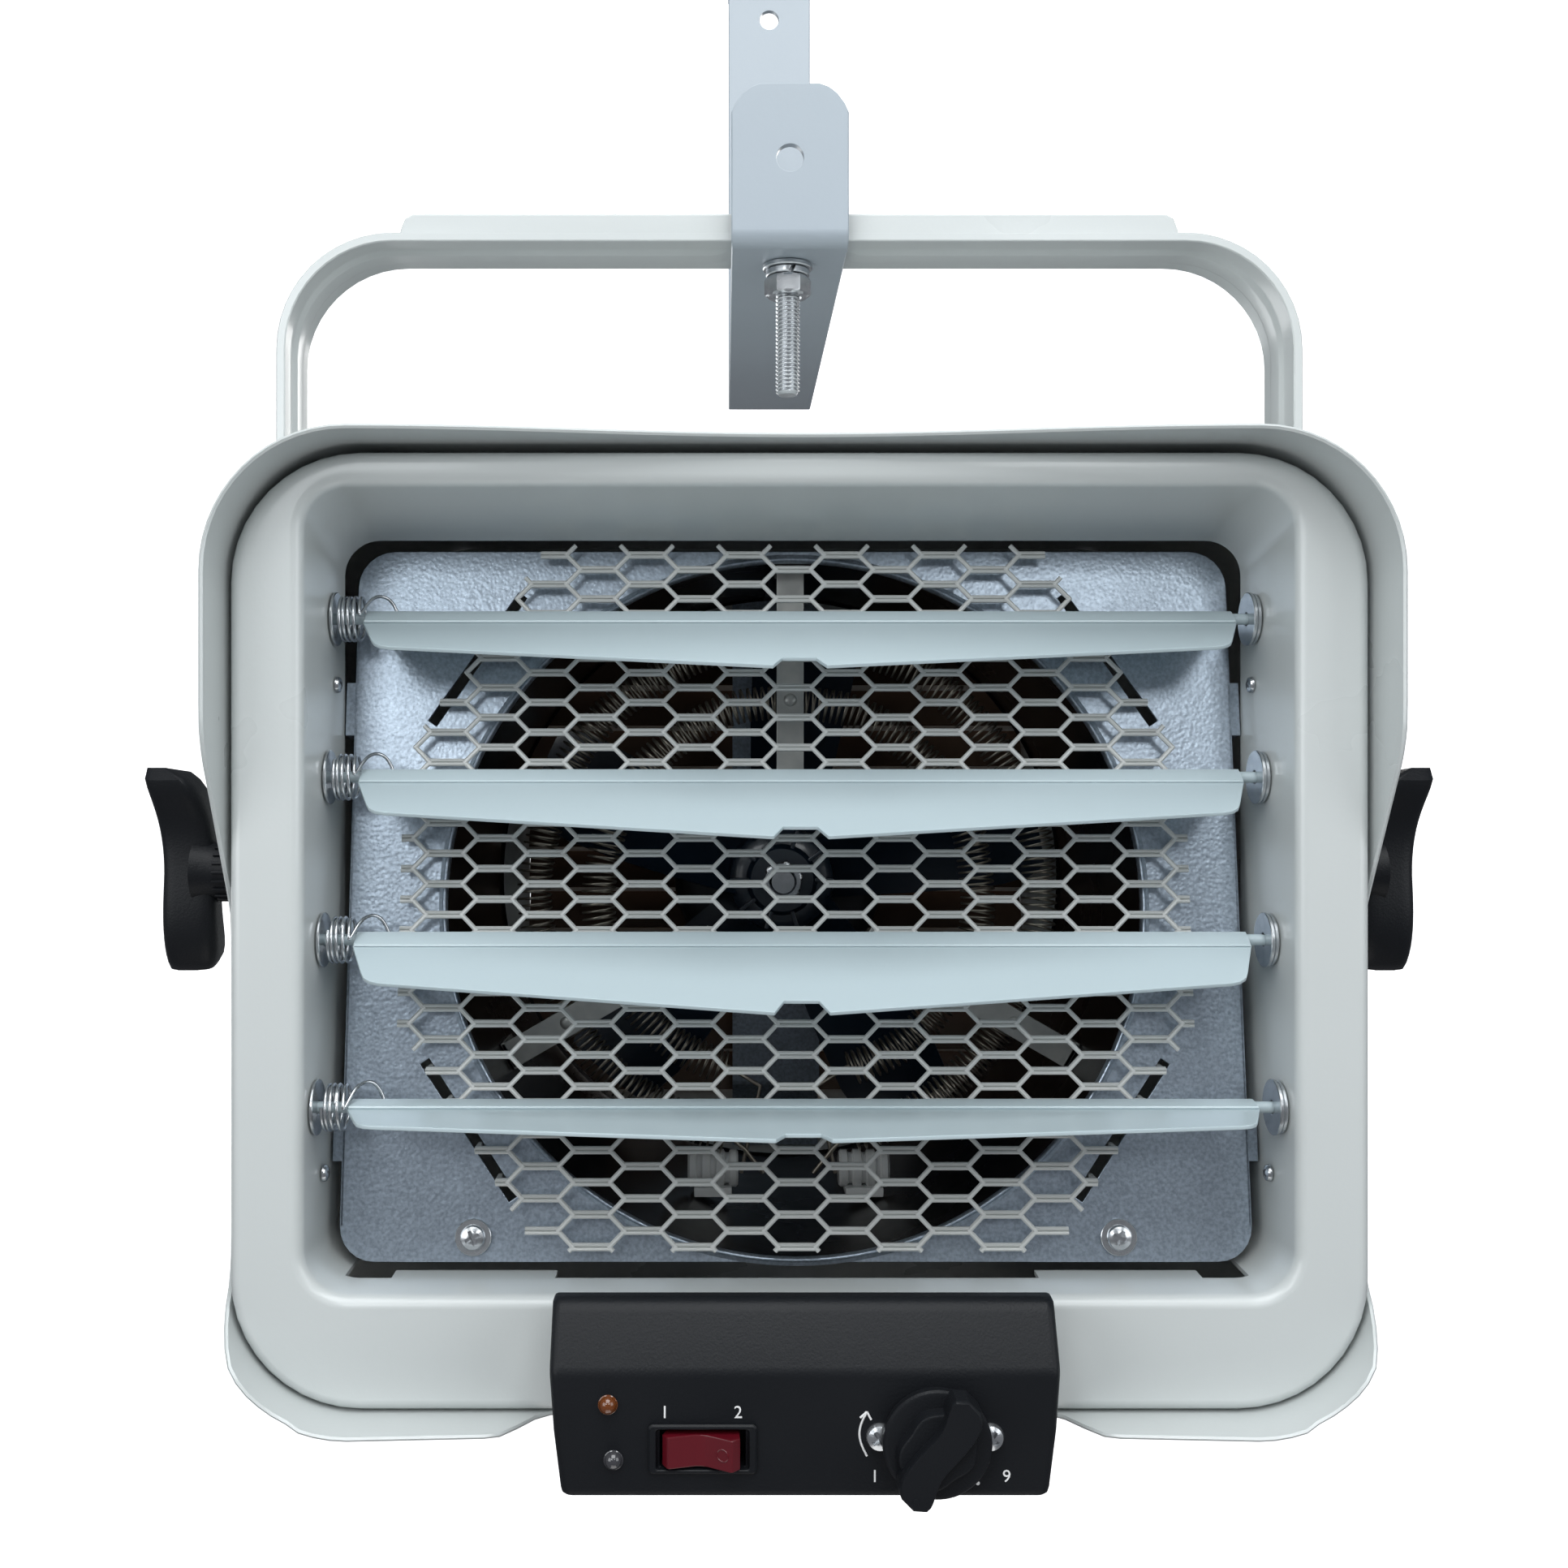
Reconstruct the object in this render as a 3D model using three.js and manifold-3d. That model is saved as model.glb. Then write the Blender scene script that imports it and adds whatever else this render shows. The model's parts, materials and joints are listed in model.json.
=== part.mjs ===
// Ceiling mounted fan heater: a steel casing hung in a strap handle from a ceiling bracket,
// with four tilting louvers in front of a guard, open coil elements and a fan.
// Millimetres. While it is built, X runs to the right, Y runs from front to back and Z up, from the
// middle of the casing and the front of the visor. The finished group is moved so that its origin
// is the middle of the bracket's ceiling foot.
import * as THREE from 'three';
import { mergeVertices } from 'three/addons/utils/BufferGeometryUtils.js';
import Module from 'manifold-3d';

const wasm = await Module();
wasm.setup();

// ---- casing ----
const SLEEVE_WIDTH = 315;
const SLEEVE_HEIGHT = 266;
const SLEEVE_DEPTH = 230;
const SLEEVE_CORNER = 38;
const SHEET = 1.2;              // thickness of the casing's steel sheet
const VISOR_REACH = 28;         // how far the visor's upper sides stand ahead of its waist
const VISOR_SHOULDER = 80;       // below the top, where the visor's sides start to fall back
const VISOR_WAIST_TOP = 129;     // below the top, where they reach the waist
const VISOR_WAIST_LOW = 35;      // above the bottom, where they come forward again
const VISOR_FOOT = 17;
const VISOR_FOOT_SETBACK = 4;
const VISOR_TOP_DIP = 11;       // how far the middle of the visor's top edge is set back
const BEZEL_GAP = 1.3;          // dark joint between bezel and sleeve
const BEZEL_FACE = 17.6;        // depth of the bezel's face behind the visor's front
const BEZEL_SKIRT = 16;
const BEZEL_BOTTOM_GAP = 0.6;
const BEZEL_TOP_GAP = 2.3;
const ROLL = 3;                 // rolled edges of the bezel
const RIM_HALF = 135;           // opening in the bezel
const RIM_TOP = 120;
const RIM_BOTTOM = -100;
const RIM_CORNER = 12;
const RECESS_DRAFT = 2;         // how much narrower the recess is at its back
const RECESS_TOP_DROP = 12;     // fall of the recess's roof from front to back
const RECESS_BACK = 80;
const TAB_FRONT = 34;           // where the recess's floor is cut away between its tabs
const TAB_INNER = RIM_HALF - 67;
const TAB_OUTER = RIM_HALF - 21;
const TAB_END = RIM_HALF - 8;
const CLEAR = 0.3;              // gap round a fit
const SEAT = 0.1;               // gap between faces that are clamped together

// ---- leaning front plate and its guard ----
const LEAN = 7.36 * Math.PI / 180;
const PLATE_Y = 52.7;           // depth of the plate's face at mid height
const PLATE_SHEET = 1;
const PLATE_MARGIN = 2;         // gap between the plate's edge and the recess
const PLATE_FLANGE = 9;
const PLATE_PAD_Z = 62;         // pads on the side flanges where they meet the recess
const PLATE_PAD_HEIGHT = 16;
const PLATE_TOP_CHAMFER = 14;
const PLATE_BOTTOM_CHAMFER = 6;
const OPENING_RADIUS = 101.5;
const OPENING_Z = 5;            // height of the opening, drum and fan
const OPENING_LIP = 1.5;
const GUARD_HALF_WIDTH = RIM_HALF - 21;
const GUARD_Z = 8;
const GUARD_HALF_HEIGHT = 102;
const GUARD_TOP_HALF = GUARD_HALF_WIDTH - 41;      // half length of its straight top and bottom edges
const GUARD_SIDE_HALF = 39;     // half length of its straight sides
const GUARD_SHEET = 1.4;
const GUARD_STAND_OFF = 5;
const CELL_PITCH = 22;          // across, from one column of gaps to the next
const CELL_ROW = 13.6;          // up, from one gap to the next in a column
const CELL_FLAT = 7.6;          // half length of a gap's level edge, to the strands' middle
const STRAND = 2.1;
const SLOT_X = GUARD_HALF_WIDTH - 20;              // middle of each slot that takes the guard's folded edge
const SLOT_Z = 69;
const SLOT_LENGTH = 47;
const SLOT_SLOPE = 1.48;
const SLOT_WIDTH = 3;
const PLATE_SCREW_X = RIM_HALF - 43;
const PLATE_SCREW_Z = -91;
const SCREW_HEAD = 4.2;
const SCREW_SHANK = 1.9;

// ---- drum, elements and fan ----
const DRUM_WALL = 1.2;
const SPOKE_Y = 80;
const SPOKE_WIDTH = 9;
const SPOKE_SHEET = 1.6;
const ELEMENT_Y = 92;
const OUTER_ELEMENT_RADIUS = 80;
const INNER_ELEMENT_RADIUS = 60;
const COIL_RADIUS = 6;
const ELEMENT_WIRE = 1.6;       // wire diameter
const OUTER_CURLS = 18;
const INNER_CURLS = 15;
const TERMINAL_X = 12;
const INSULATOR_RADIUS = 6;
const INSULATOR_LENGTH = 16;
const FAN_RADIUS = 94;
const FAN_BLADES = 5;
const BLADE_TWIST = 28 * Math.PI / 180;
const BLADE_CHORD = 46;
const BLADE_SHEET = 1.4;
const HUB_RADIUS = 19;
const HUB_LENGTH = 24;
const SHAFT_RADIUS = 4;
const FAN_NUT_ACROSS = 13;
const FAN_NUT_HEIGHT = 6.5;
const MOTOR_RADIUS = 39;
const MOTOR_LENGTH = 38;
const MOTOR_BACK = SLEEVE_DEPTH - 16;
const MOTOR_FRONT = MOTOR_BACK - MOTOR_LENGTH;
const FAN_Y = MOTOR_FRONT - 16;   // middle of the fan's blades
const DRUM_BACK = FAN_Y + 10;
const MOTOR_STRAP_WIDTH = 34;
const MOTOR_STRAP_HALF = 96;
const MOTOR_STRAP_SHEET = 2;
const MOTOR_STRAP_FOOT = 14;
const MOTOR_STRAP_RUN = 12;      // across its slanted parts
const REAR_SHEET = 1.2;
const REAR_INSET = 3;           // rear panel set in from the sleeve's back edge
const REAR_SLOT_HEIGHT = 12;
const REAR_SLOT_PITCH = 16;
const REAR_SLOT_WIDTH = 62;
const REAR_SLOT_COLUMNS = 3;
const REAR_SLOT_ROWS = 11;
const REAR_RIB = 5;
const REAR_FLANGE = 10;

// ---- louvers ----
const LOUVER_TOP_Z = 87;
const LOUVER_PITCH = 46;
const LOUVER_TOP_Y = 50;
const LOUVER_STEP_Y = 6.6;      // how much nearer each lower louver sits
const LOUVER_TILTS = [26, 26, 26, 2].map((degrees) => degrees * Math.PI / 180);
const LOUVER_LEFT = RIM_HALF - 13;   // room for the spring and its washer
const LOUVER_RIGHT = RIM_HALF - 7.5;
const LOUVER_END_CUT = 10;       // width of the slanted corner at each end
const LOUVER_END_CHORD = 23;
const LOUVER_MID_CHORD = 37;
const LOUVER_SHEET = 1.2;
const LOUVER_NOTCH_MOUTH = 14.5;
const LOUVER_NOTCH_INNER = 9.2;
const LOUVER_NOTCH_DEPTH = 5.5;
const LOUVER_HEM_RADIUS = 2.2;
const PIN_RADIUS = 1.6;
const LOUVER_WASHER_RADIUS = 7.75;
const LOUVER_WASHER_LENGTH = 2.4;
const SPRING_WASHER_LENGTH = 1;
const SPRING_RADIUS = 6.4;      // to the middle of the wire
const SPRING_WIRE = 1.1;
const SPRING_CURLS = 4;

// ---- controls ----
const PANEL_HALF_TOP = 65;
const PANEL_HALF_BOTTOM = 62;
const PANEL_TOP = -94;
const PANEL_CREASE = -110;
const PANEL_BOTTOM = -141.7;
const PANEL_FRONT = -11;
const PANEL_TOP_FRONT = -4;
const PANEL_WALL = 2.4;
const DIAL_X = PANEL_HALF_TOP - 32.2;
const DIAL_Z = -126;
const DIAL_RADIUS = 13.7;
const DIAL_SKIRT = 3.4;
const DIAL_STAND_OFF = 2.8;     // the skirt runs in front of the screw heads
const DIAL_BAR_REACH = 13;
const DIAL_BAR_WIDTH = 11;
const DIAL_BAR_LENGTH = 31;
const DIAL_BAR_TURN = 27 * Math.PI / 180;
const DIAL_SHAFT_RADIUS = 3;
const DIAL_SCREW_SPREAD = 14;
const DIAL_SCREW_LENGTH = 4;
const THERMOSTAT_SIZE = 24;
const THERMOSTAT_DEPTH = 17;
const SWITCH_X = 39 - PANEL_HALF_TOP;
const SWITCH_Z = -129;
const SWITCH_WIDTH = 27.5;
const SWITCH_HEIGHT = 12.5;
const SWITCH_DEPTH = 18;
const ROCKER_WIDTH = 20;
const ROCKER_HEIGHT = 9;
const ROCKER_WELL = 9;
const ROCKER_PIVOT_DEPTH = 1;
const ROCKER_THROW = 16 * Math.PI / 180;
const LIGHT_RADIUS = 2.5;
const POWER_LIGHT = [15 - PANEL_HALF_TOP, -118];
const ALARM_LIGHT = [16.4 - PANEL_HALF_TOP, -132];

// ---- handle, knobs and hanger ----
const PIVOT_Y = 100;
const PIVOT_Z = 11;
const STRAP_THICK = 2.8;
const STRAP_WIDTH = 28;
const STRAP_CORNER = 35;
const STRAP_SIDE_GAP = 0.6;     // between the casing and the handle's arms
const STRAP_RISE = 198.1;         // from the pivot to the crossbar's underside
const STRAP_FLANGE_HEIGHT = 6;
const STRAP_FLANGE_HALF = 122;
const KNOB_LENGTH = 69;
const KNOB_HUB_RADIUS = 10;
const KNOB_HUB_LENGTH = 23;
const KNOB_WING_THICK = 19;
const KNOB_TURN = 15 * Math.PI / 180;
const STUD_RADIUS = 4;
const PIVOT_WASHER_RADIUS = 11;
const PIVOT_WASHER_THICK = 1.6;
const PIVOT_NUT_ACROSS = 15;
const PIVOT_NUT_HEIGHT = 7;
const HANGER_WIDTH = 36.4;
const HANGER_THICK = 3;
const HANGER_LIP = 50;
const HANGER_LIP_Y = 80;        // front face of the lip
const HANGER_REACH = 227;       // from the lip's front to the riser's back
const HANGER_RISE = 216;        // from the shelf's underside to the top of the ceiling foot
const HANGER_FOOT = 62;
const HANGER_BEND = 5;
const LIP_CORNER = 9;
const HANGER_HOLE_RADIUS = 4.25;
const LIP_HOLE_UP = 27;
const RISER_HOLE_UP = 175;
const FOOT_HOLE_SPREAD = 15;
const BOLT_RADIUS = 3.9;
const BOLT_HEAD_ACROSS = 13;
const BOLT_HEAD_HEIGHT = 5.3;
const BOLT_REACH = 42;          // thread below the shelf
const NUT_ACROSS = 13;
const NUT_HEIGHT = 6.5;
const FLAT_WASHER_RADIUS = 8;
const WASHER_THICK = 1.6;
const LOCK_WASHER_RADIUS = 7;
const LOCK_WASHER_THICK = 2.1;

// ---- finishes ----
function finish(color, roughness, metalness) {
  return new THREE.MeshStandardMaterial({ color, roughness, metalness });
}
const WARM_GREY_PAINT = () => finish(0xcdcec8, 0.4, 0.1);
const PALE_BLUE_PAINT = () => finish(0xc2ced4, 0.4, 0.1);
const GUARD_PAINT = () => finish(0xa5aca8, 0.5, 0.2);
const GALVANISED = () => finish(0x9aa5b1, 0.45, 0.8);
const ZINC = () => finish(0xb9bcc0, 0.3, 0.9);
const BLACK_PLASTIC = () => finish(0x202226, 0.55, 0);
const HEATER_WIRE = () => finish(0x2a2624, 0.45, 0.6);
const CERAMIC = () => finish(0xe6e4de, 0.5, 0);
const MOTOR_ENAMEL = () => finish(0x23262a, 0.5, 0.4);
const RED_PLASTIC = () => finish(0x6e1423, 0.35, 0);
const AMBER_LENS = () => finish(0xa6560c, 0.2, 0);
const DARK_LENS = () => finish(0x2a2a30, 0.15, 0);

// ---- helpers ----

// A closed geometry as a solid that can be cut and joined.
function solid(geometry) {
  let shape = geometry.clone();
  shape.deleteAttribute('normal');
  shape.deleteAttribute('uv');
  shape = mergeVertices(shape, 1e-4);
  return new wasm.Manifold(new wasm.Mesh({
    numProp: 3,
    vertProperties: new Float32Array(shape.attributes.position.array),
    triVerts: new Uint32Array(shape.index.array),
  }));
}

// A cut solid as a geometry.
function geometryOf(manifold) {
  const cut = manifold.getMesh();
  const geometry = new THREE.BufferGeometry();
  geometry.setAttribute('position', new THREE.BufferAttribute(cut.vertProperties, 3));
  geometry.setIndex(new THREE.BufferAttribute(cut.triVerts, 1));
  geometry.computeVertexNormals();
  return geometry;
}

function piece(name, shape, material) {
  const geometry = shape instanceof wasm.Manifold ? geometryOf(shape) : shape;
  const mesh = new THREE.Mesh(geometry, material);
  mesh.name = name;
  return mesh;
}

function box(x0, x1, y0, y1, z0, z1) {
  const geometry = new THREE.BoxGeometry(x1 - x0, y1 - y0, z1 - z0);
  return solid(geometry.translate((x0 + x1) / 2, (y0 + y1) / 2, (z0 + z1) / 2));
}

// Cylinders along each axis, from one end to the other.
function rodX(radius, x0, x1, y, z, sides = 16) {
  const geometry = new THREE.CylinderGeometry(radius, radius, x1 - x0, sides).rotateZ(Math.PI / 2);
  return solid(geometry.translate((x0 + x1) / 2, y, z));
}
function rodY(radius, y0, y1, x, z, sides = 16) {
  const geometry = new THREE.CylinderGeometry(radius, radius, y1 - y0, sides);
  return solid(geometry.translate(x, (y0 + y1) / 2, z));
}
function rodZ(radius, z0, z1, x, y, sides = 16) {
  const geometry = new THREE.CylinderGeometry(radius, radius, z1 - z0, sides).rotateX(Math.PI / 2);
  return solid(geometry.translate(x, y, (z0 + z1) / 2));
}

// Flat outlines made thick: one drawn as (x, z), one as (x, y) and one as (y, z).
function thickY(shape, y0, y1) {
  const geometry = new THREE.ExtrudeGeometry(shape, { depth: y1 - y0, bevelEnabled: false, curveSegments: 6 });
  return solid(geometry.rotateX(Math.PI / 2).translate(0, y1, 0));
}
function thickZ(shape, z0, z1) {
  const geometry = new THREE.ExtrudeGeometry(shape, { depth: z1 - z0, bevelEnabled: false, curveSegments: 6 });
  return solid(geometry.translate(0, 0, z0));
}
function thickX(shape, x0, x1) {
  const geometry = new THREE.ExtrudeGeometry(shape, { depth: x1 - x0, bevelEnabled: false, curveSegments: 6 });
  geometry.applyMatrix4(new THREE.Matrix4().set(0, 0, 1, x0, 1, 0, 0, 0, 0, 1, 0, 0, 0, 0, 0, 1));
  return solid(geometry);
}
function outline(points) {
  return new THREE.Shape(points.map(([a, b]) => new THREE.Vector2(a, b)));
}

// The points of a rectangle with round corners, anticlockwise.
function roundedPoints(left, right, bottom, top, radius, steps = 5) {
  const corners = [
    [right - radius, top - radius, 0], [left + radius, top - radius, 1],
    [left + radius, bottom + radius, 2], [right - radius, bottom + radius, 3],
  ];
  return corners.flatMap(([x, z, quarter]) => Array.from({ length: steps + 1 }, (_, i) => {
    const angle = (quarter + i / steps) * Math.PI / 2;
    return [x + radius * Math.cos(angle), z + radius * Math.sin(angle)];
  }));
}

// A closed body through rings of equal counts of points, each ring convex.
function loft(rings) {
  const count = rings[0].length;
  const index = [];
  rings.slice(1).forEach((_, r) => {
    for (let i = 0; i < count; i += 1) {
      const j = (i + 1) % count;
      const near = r * count;
      const far = near + count;
      index.push(near + i, near + j, far + j, near + i, far + j, far + i);
    }
  });
  const last = (rings.length - 1) * count;
  for (let i = 1; i < count - 1; i += 1) {
    index.push(0, i + 1, i, last, last + i, last + i + 1);
  }
  return outward(rings.flat(), index);
}

// A geometry from points and triangles, turned so that its faces point out.
function outward(points, index) {
  const p = points.map((q) => new THREE.Vector3(...q));
  let volume = 0;
  for (let i = 0; i < index.length; i += 3) {
    volume += p[index[i]].dot(p[index[i + 1]].clone().cross(p[index[i + 2]]));
  }
  const order = volume < 0 ? index.slice().reverse() : index;
  const geometry = new THREE.BufferGeometry();
  geometry.setAttribute('position', new THREE.Float32BufferAttribute(points.flat(), 3));
  geometry.setIndex(order);
  geometry.computeVertexNormals();
  return geometry;
}

// A round wire along a row of points, as one closed tube with flat ends.
function wire(points, radius, sides) {
  const tangents = points.map((_, i) => points[Math.min(i + 1, points.length - 1)].clone()
    .sub(points[Math.max(i - 1, 0)]).normalize());
  let across = new THREE.Vector3(0, 0, 1).cross(tangents[0]);
  if (across.length() < 0.1) across = new THREE.Vector3(0, 1, 0).cross(tangents[0]);
  const rings = points.map((point, i) => {
    across.addScaledVector(tangents[i], -across.dot(tangents[i])).normalize();
    const up = tangents[i].clone().cross(across);
    return Array.from({ length: sides }, (_, s) => {
      const angle = s * 2 * Math.PI / sides;
      return point.clone().addScaledVector(across, radius * Math.cos(angle))
        .addScaledVector(up, radius * Math.sin(angle)).toArray();
    });
  });
  return loft(rings);
}

// The least clear gap that a wire leaves to itself, measured between points of different curls.
function leastSelfGap(points, radius, apart) {
  let least = Infinity;
  for (let i = 0; i < points.length; i += 1) {
    for (let j = i + apart; j < points.length; j += 1) {
      least = Math.min(least, points[i].distanceTo(points[j]));
    }
  }
  return least - 2 * radius;
}

// A flat strip bent along a path of corner points, drawn in the plane of the path.
function bentStrip(corners, thick, radius) {
  const path = [corners[0]];
  for (let i = 1; i < corners.length - 1; i += 1) {
    const [px, py] = corners[i];
    const into = new THREE.Vector2(px - corners[i - 1][0], py - corners[i - 1][1]).normalize();
    const away = new THREE.Vector2(corners[i + 1][0] - px, corners[i + 1][1] - py).normalize();
    const turn = Math.acos(THREE.MathUtils.clamp(into.dot(away), -1, 1));
    const run = radius * Math.tan(turn / 2);
    const side = Math.sign(into.cross(away));
    const centre = [px - into.x * run - side * into.y * radius, py - into.y * run + side * into.x * radius];
    const start = Math.atan2(py - into.y * run - centre[1], px - into.x * run - centre[0]);
    const steps = Math.max(2, Math.round(turn / (Math.PI / 12)));
    for (let s = 0; s <= steps; s += 1) {
      const angle = start + side * turn * s / steps;
      path.push([centre[0] + radius * Math.cos(angle), centre[1] + radius * Math.sin(angle)]);
    }
  }
  path.push(corners[corners.length - 1]);
  const edge = (side) => path.map(([x, y], i) => {
    const a = path[Math.max(i - 1, 0)];
    const b = path[Math.min(i + 1, path.length - 1)];
    const along = new THREE.Vector2(b[0] - a[0], b[1] - a[1]).normalize();
    return [x - side * along.y * thick / 2, y + side * along.x * thick / 2];
  });
  return outline([...edge(1), ...edge(-1).reverse()]);
}

function hexagon(across) {
  return Array.from({ length: 6 }, (_, i) => {
    const angle = (i + 0.5) * Math.PI / 3;
    return [across / Math.sqrt(3) * Math.cos(angle), across / Math.sqrt(3) * Math.sin(angle)];
  });
}

// ---- casing ----
const halfWidth = SLEEVE_WIDTH / 2;
const halfHeight = SLEEVE_HEIGHT / 2;
const insideHalf = halfWidth - SHEET;
const bezelHalf = insideHalf - BEZEL_GAP;
const bezelTop = halfHeight - SHEET - BEZEL_TOP_GAP;
const bezelBottom = -halfHeight + SHEET + BEZEL_BOTTOM_GAP;
const plateY = (z) => PLATE_Y + z * Math.tan(LEAN);
const recessX = (y) => RIM_HALF - RECESS_DRAFT * (y - BEZEL_FACE - ROLL) / (RECESS_BACK - BEZEL_FACE - ROLL);
const recessRoof = (y) => RIM_TOP - RECESS_TOP_DROP * (y - BEZEL_FACE - ROLL) / (RECESS_BACK - BEZEL_FACE - ROLL);

// A ring of a loft: a rectangle with round corners at one depth.
const ringAt = (y, left, right, bottom, top, corner) => (
  roundedPoints(left, right, bottom, top, corner).map(([x, z]) => [x, y, z]));

function outerSleeve() {
  const inner = SLEEVE_CORNER - SHEET;
  const outside = outline(roundedPoints(-halfWidth, halfWidth, -halfHeight, halfHeight, SLEEVE_CORNER, 7));
  const inside = outline(roundedPoints(-insideHalf, insideHalf, SHEET - halfHeight, halfHeight - SHEET, inner, 7));
  let sleeve = thickY(outside, 0, SLEEVE_DEPTH).subtract(thickY(inside, -1, SLEEVE_DEPTH + 1));
  const shoulder = halfHeight - VISOR_SHOULDER;
  const foot = VISOR_FOOT - halfHeight;
  const waist = outline([[-1, shoulder], [0, shoulder], [VISOR_REACH, halfHeight - VISOR_WAIST_TOP],
    [VISOR_REACH, VISOR_WAIST_LOW - halfHeight], [VISOR_FOOT_SETBACK, foot], [-1, foot]]);
  sleeve = sleeve.subtract(thickX(waist, -halfWidth - 1, halfWidth + 1));
  const dip = Array.from({ length: 13 }, (_, i) => {
    const share = i / 6 - 1;
    return [share * (halfWidth - SLEEVE_CORNER), VISOR_TOP_DIP * (0.5 + 0.5 * Math.cos(Math.PI * share))];
  });
  const dipped = outline([...dip, [halfWidth - SLEEVE_CORNER, -1], [SLEEVE_CORNER - halfWidth, -1]]);
  sleeve = sleeve.subtract(thickZ(dipped, halfHeight - SHEET - 1, halfHeight + 1));
  const panelBack = BEZEL_FACE + PANEL_WALL;
  const bay = PANEL_HALF_TOP + 2;
  const cutBack = outline([
    [-halfWidth + SLEEVE_CORNER, -1], [-halfWidth + SLEEVE_CORNER, VISOR_FOOT_SETBACK / 2],
    [-bay - 15, VISOR_FOOT_SETBACK], [-bay, panelBack], [bay, panelBack], [bay + 15, VISOR_FOOT_SETBACK],
    [halfWidth - SLEEVE_CORNER, VISOR_FOOT_SETBACK / 2], [halfWidth - SLEEVE_CORNER, -1],
  ]);
  sleeve = sleeve.subtract(thickZ(cutBack, -halfHeight - 1, -halfHeight + SHEET + 1));
  const hole = rodX(STUD_RADIUS + CLEAR, -halfWidth - 1, halfWidth + 1, PIVOT_Y, PIVOT_Z);
  return piece('outer_sleeve', sleeve.subtract(hole), WARM_GREY_PAINT());
}

function frontBezel() {
  const corner = SLEEVE_CORNER - SHEET - BEZEL_GAP;
  const shell = (inset) => loft([
    ringAt(BEZEL_FACE + inset, ROLL + inset - bezelHalf, bezelHalf - ROLL - inset,
      bezelBottom + ROLL + inset, bezelTop - ROLL - inset, corner - ROLL - inset),
    ringAt(BEZEL_FACE + ROLL, inset - bezelHalf, bezelHalf - inset, bezelBottom + inset, bezelTop - inset,
      corner - inset),
    ringAt(BEZEL_FACE + BEZEL_SKIRT + inset, inset - bezelHalf, bezelHalf - inset, bezelBottom + inset,
      bezelTop - inset, corner - inset),
  ]);
  const recess = (wall) => loft([
    ringAt(BEZEL_FACE + wall - 1, -RIM_HALF - ROLL - wall, RIM_HALF + ROLL + wall, RIM_BOTTOM - ROLL - wall,
      RIM_TOP + ROLL + wall, RIM_CORNER + ROLL),
    ringAt(BEZEL_FACE + ROLL, -RIM_HALF - wall, RIM_HALF + wall, RIM_BOTTOM - wall, RIM_TOP + wall,
      RIM_CORNER + wall),
    ringAt(RECESS_BACK + 1 - wall, RECESS_DRAFT - RIM_HALF - wall, RIM_HALF - RECESS_DRAFT + wall,
      RIM_BOTTOM + 1 - wall, RIM_TOP - RECESS_TOP_DROP + wall, RIM_CORNER + wall),
  ]);
  let bezel = solid(shell(0)).subtract(solid(shell(SHEET)));
  bezel = bezel.add(solid(recess(SHEET))).subtract(solid(recess(0)));
  const behind = new THREE.BoxGeometry(3 * RIM_HALF, RECESS_BACK, 4 * RIM_HALF)
    .translate(0, RECESS_BACK / 2 + PLATE_SHEET + PLATE_FLANGE + 2, 0).rotateX(-LEAN).translate(0, PLATE_Y, 0);
  const overDrum = new THREE.BoxGeometry(2 * TAB_OUTER, RECESS_BACK, 4 * RIM_HALF)
    .translate(0, RECESS_BACK / 2 + PLATE_SHEET, 0).rotateX(-LEAN).translate(0, PLATE_Y, 0);
  bezel = bezel.subtract(solid(behind)).subtract(solid(overDrum));
  const floorCut = (x0, x1) => box(x0, x1, TAB_FRONT, RECESS_BACK, RIM_BOTTOM - 2 * SHEET, RIM_BOTTOM + 3);
  bezel = bezel.subtract(floorCut(-TAB_INNER, TAB_INNER));
  bezel = bezel.subtract(floorCut(TAB_OUTER, TAB_END)).subtract(floorCut(-TAB_END, -TAB_OUTER));
  LOUVER_TILTS.forEach((_, i) => {
    const [y, z] = louverPivot(i);
    bezel = bezel.subtract(rodX(PIN_RADIUS + CLEAR, -RIM_HALF - 5, RIM_HALF + 5, y, z, 10));
  });
  return piece('front_bezel', bezel, WARM_GREY_PAINT());
}

function rearGrille() {
  const half = insideHalf - CLEAR;
  const tall = halfHeight - SHEET - CLEAR;
  const corner = SLEEVE_CORNER - SHEET - CLEAR;
  const back = SLEEVE_DEPTH - REAR_INSET;
  const disc = (inset) => outline(roundedPoints(inset - half, half - inset, inset - tall, tall - inset, corner - inset));
  let grille = thickY(disc(0), back - REAR_FLANGE, back);
  grille = grille.subtract(thickY(disc(REAR_SHEET), back - REAR_FLANGE - 1, back - REAR_SHEET));
  const slots = [];
  for (let row = 0; row < REAR_SLOT_ROWS; row += 1) {
    for (let column = 0; column < REAR_SLOT_COLUMNS; column += 1) {
      const x = (column - (REAR_SLOT_COLUMNS - 1) / 2) * (REAR_SLOT_WIDTH + REAR_RIB);
      const z = (row - (REAR_SLOT_ROWS - 1) / 2) * REAR_SLOT_PITCH + OPENING_Z;
      slots.push(box(x - REAR_SLOT_WIDTH / 2, x + REAR_SLOT_WIDTH / 2, back - REAR_SHEET - 1, back + 1,
        z - REAR_SLOT_HEIGHT / 2, z + REAR_SLOT_HEIGHT / 2));
    }
  }
  return piece('rear_grille', grille.subtract(wasm.Manifold.union(slots)), WARM_GREY_PAINT());
}

// ---- leaning plate and guard, drawn upright and leaned back by their group ----
const guardSlots = [[1, 1], [1, -1], [-1, 1], [-1, -1]];

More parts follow.
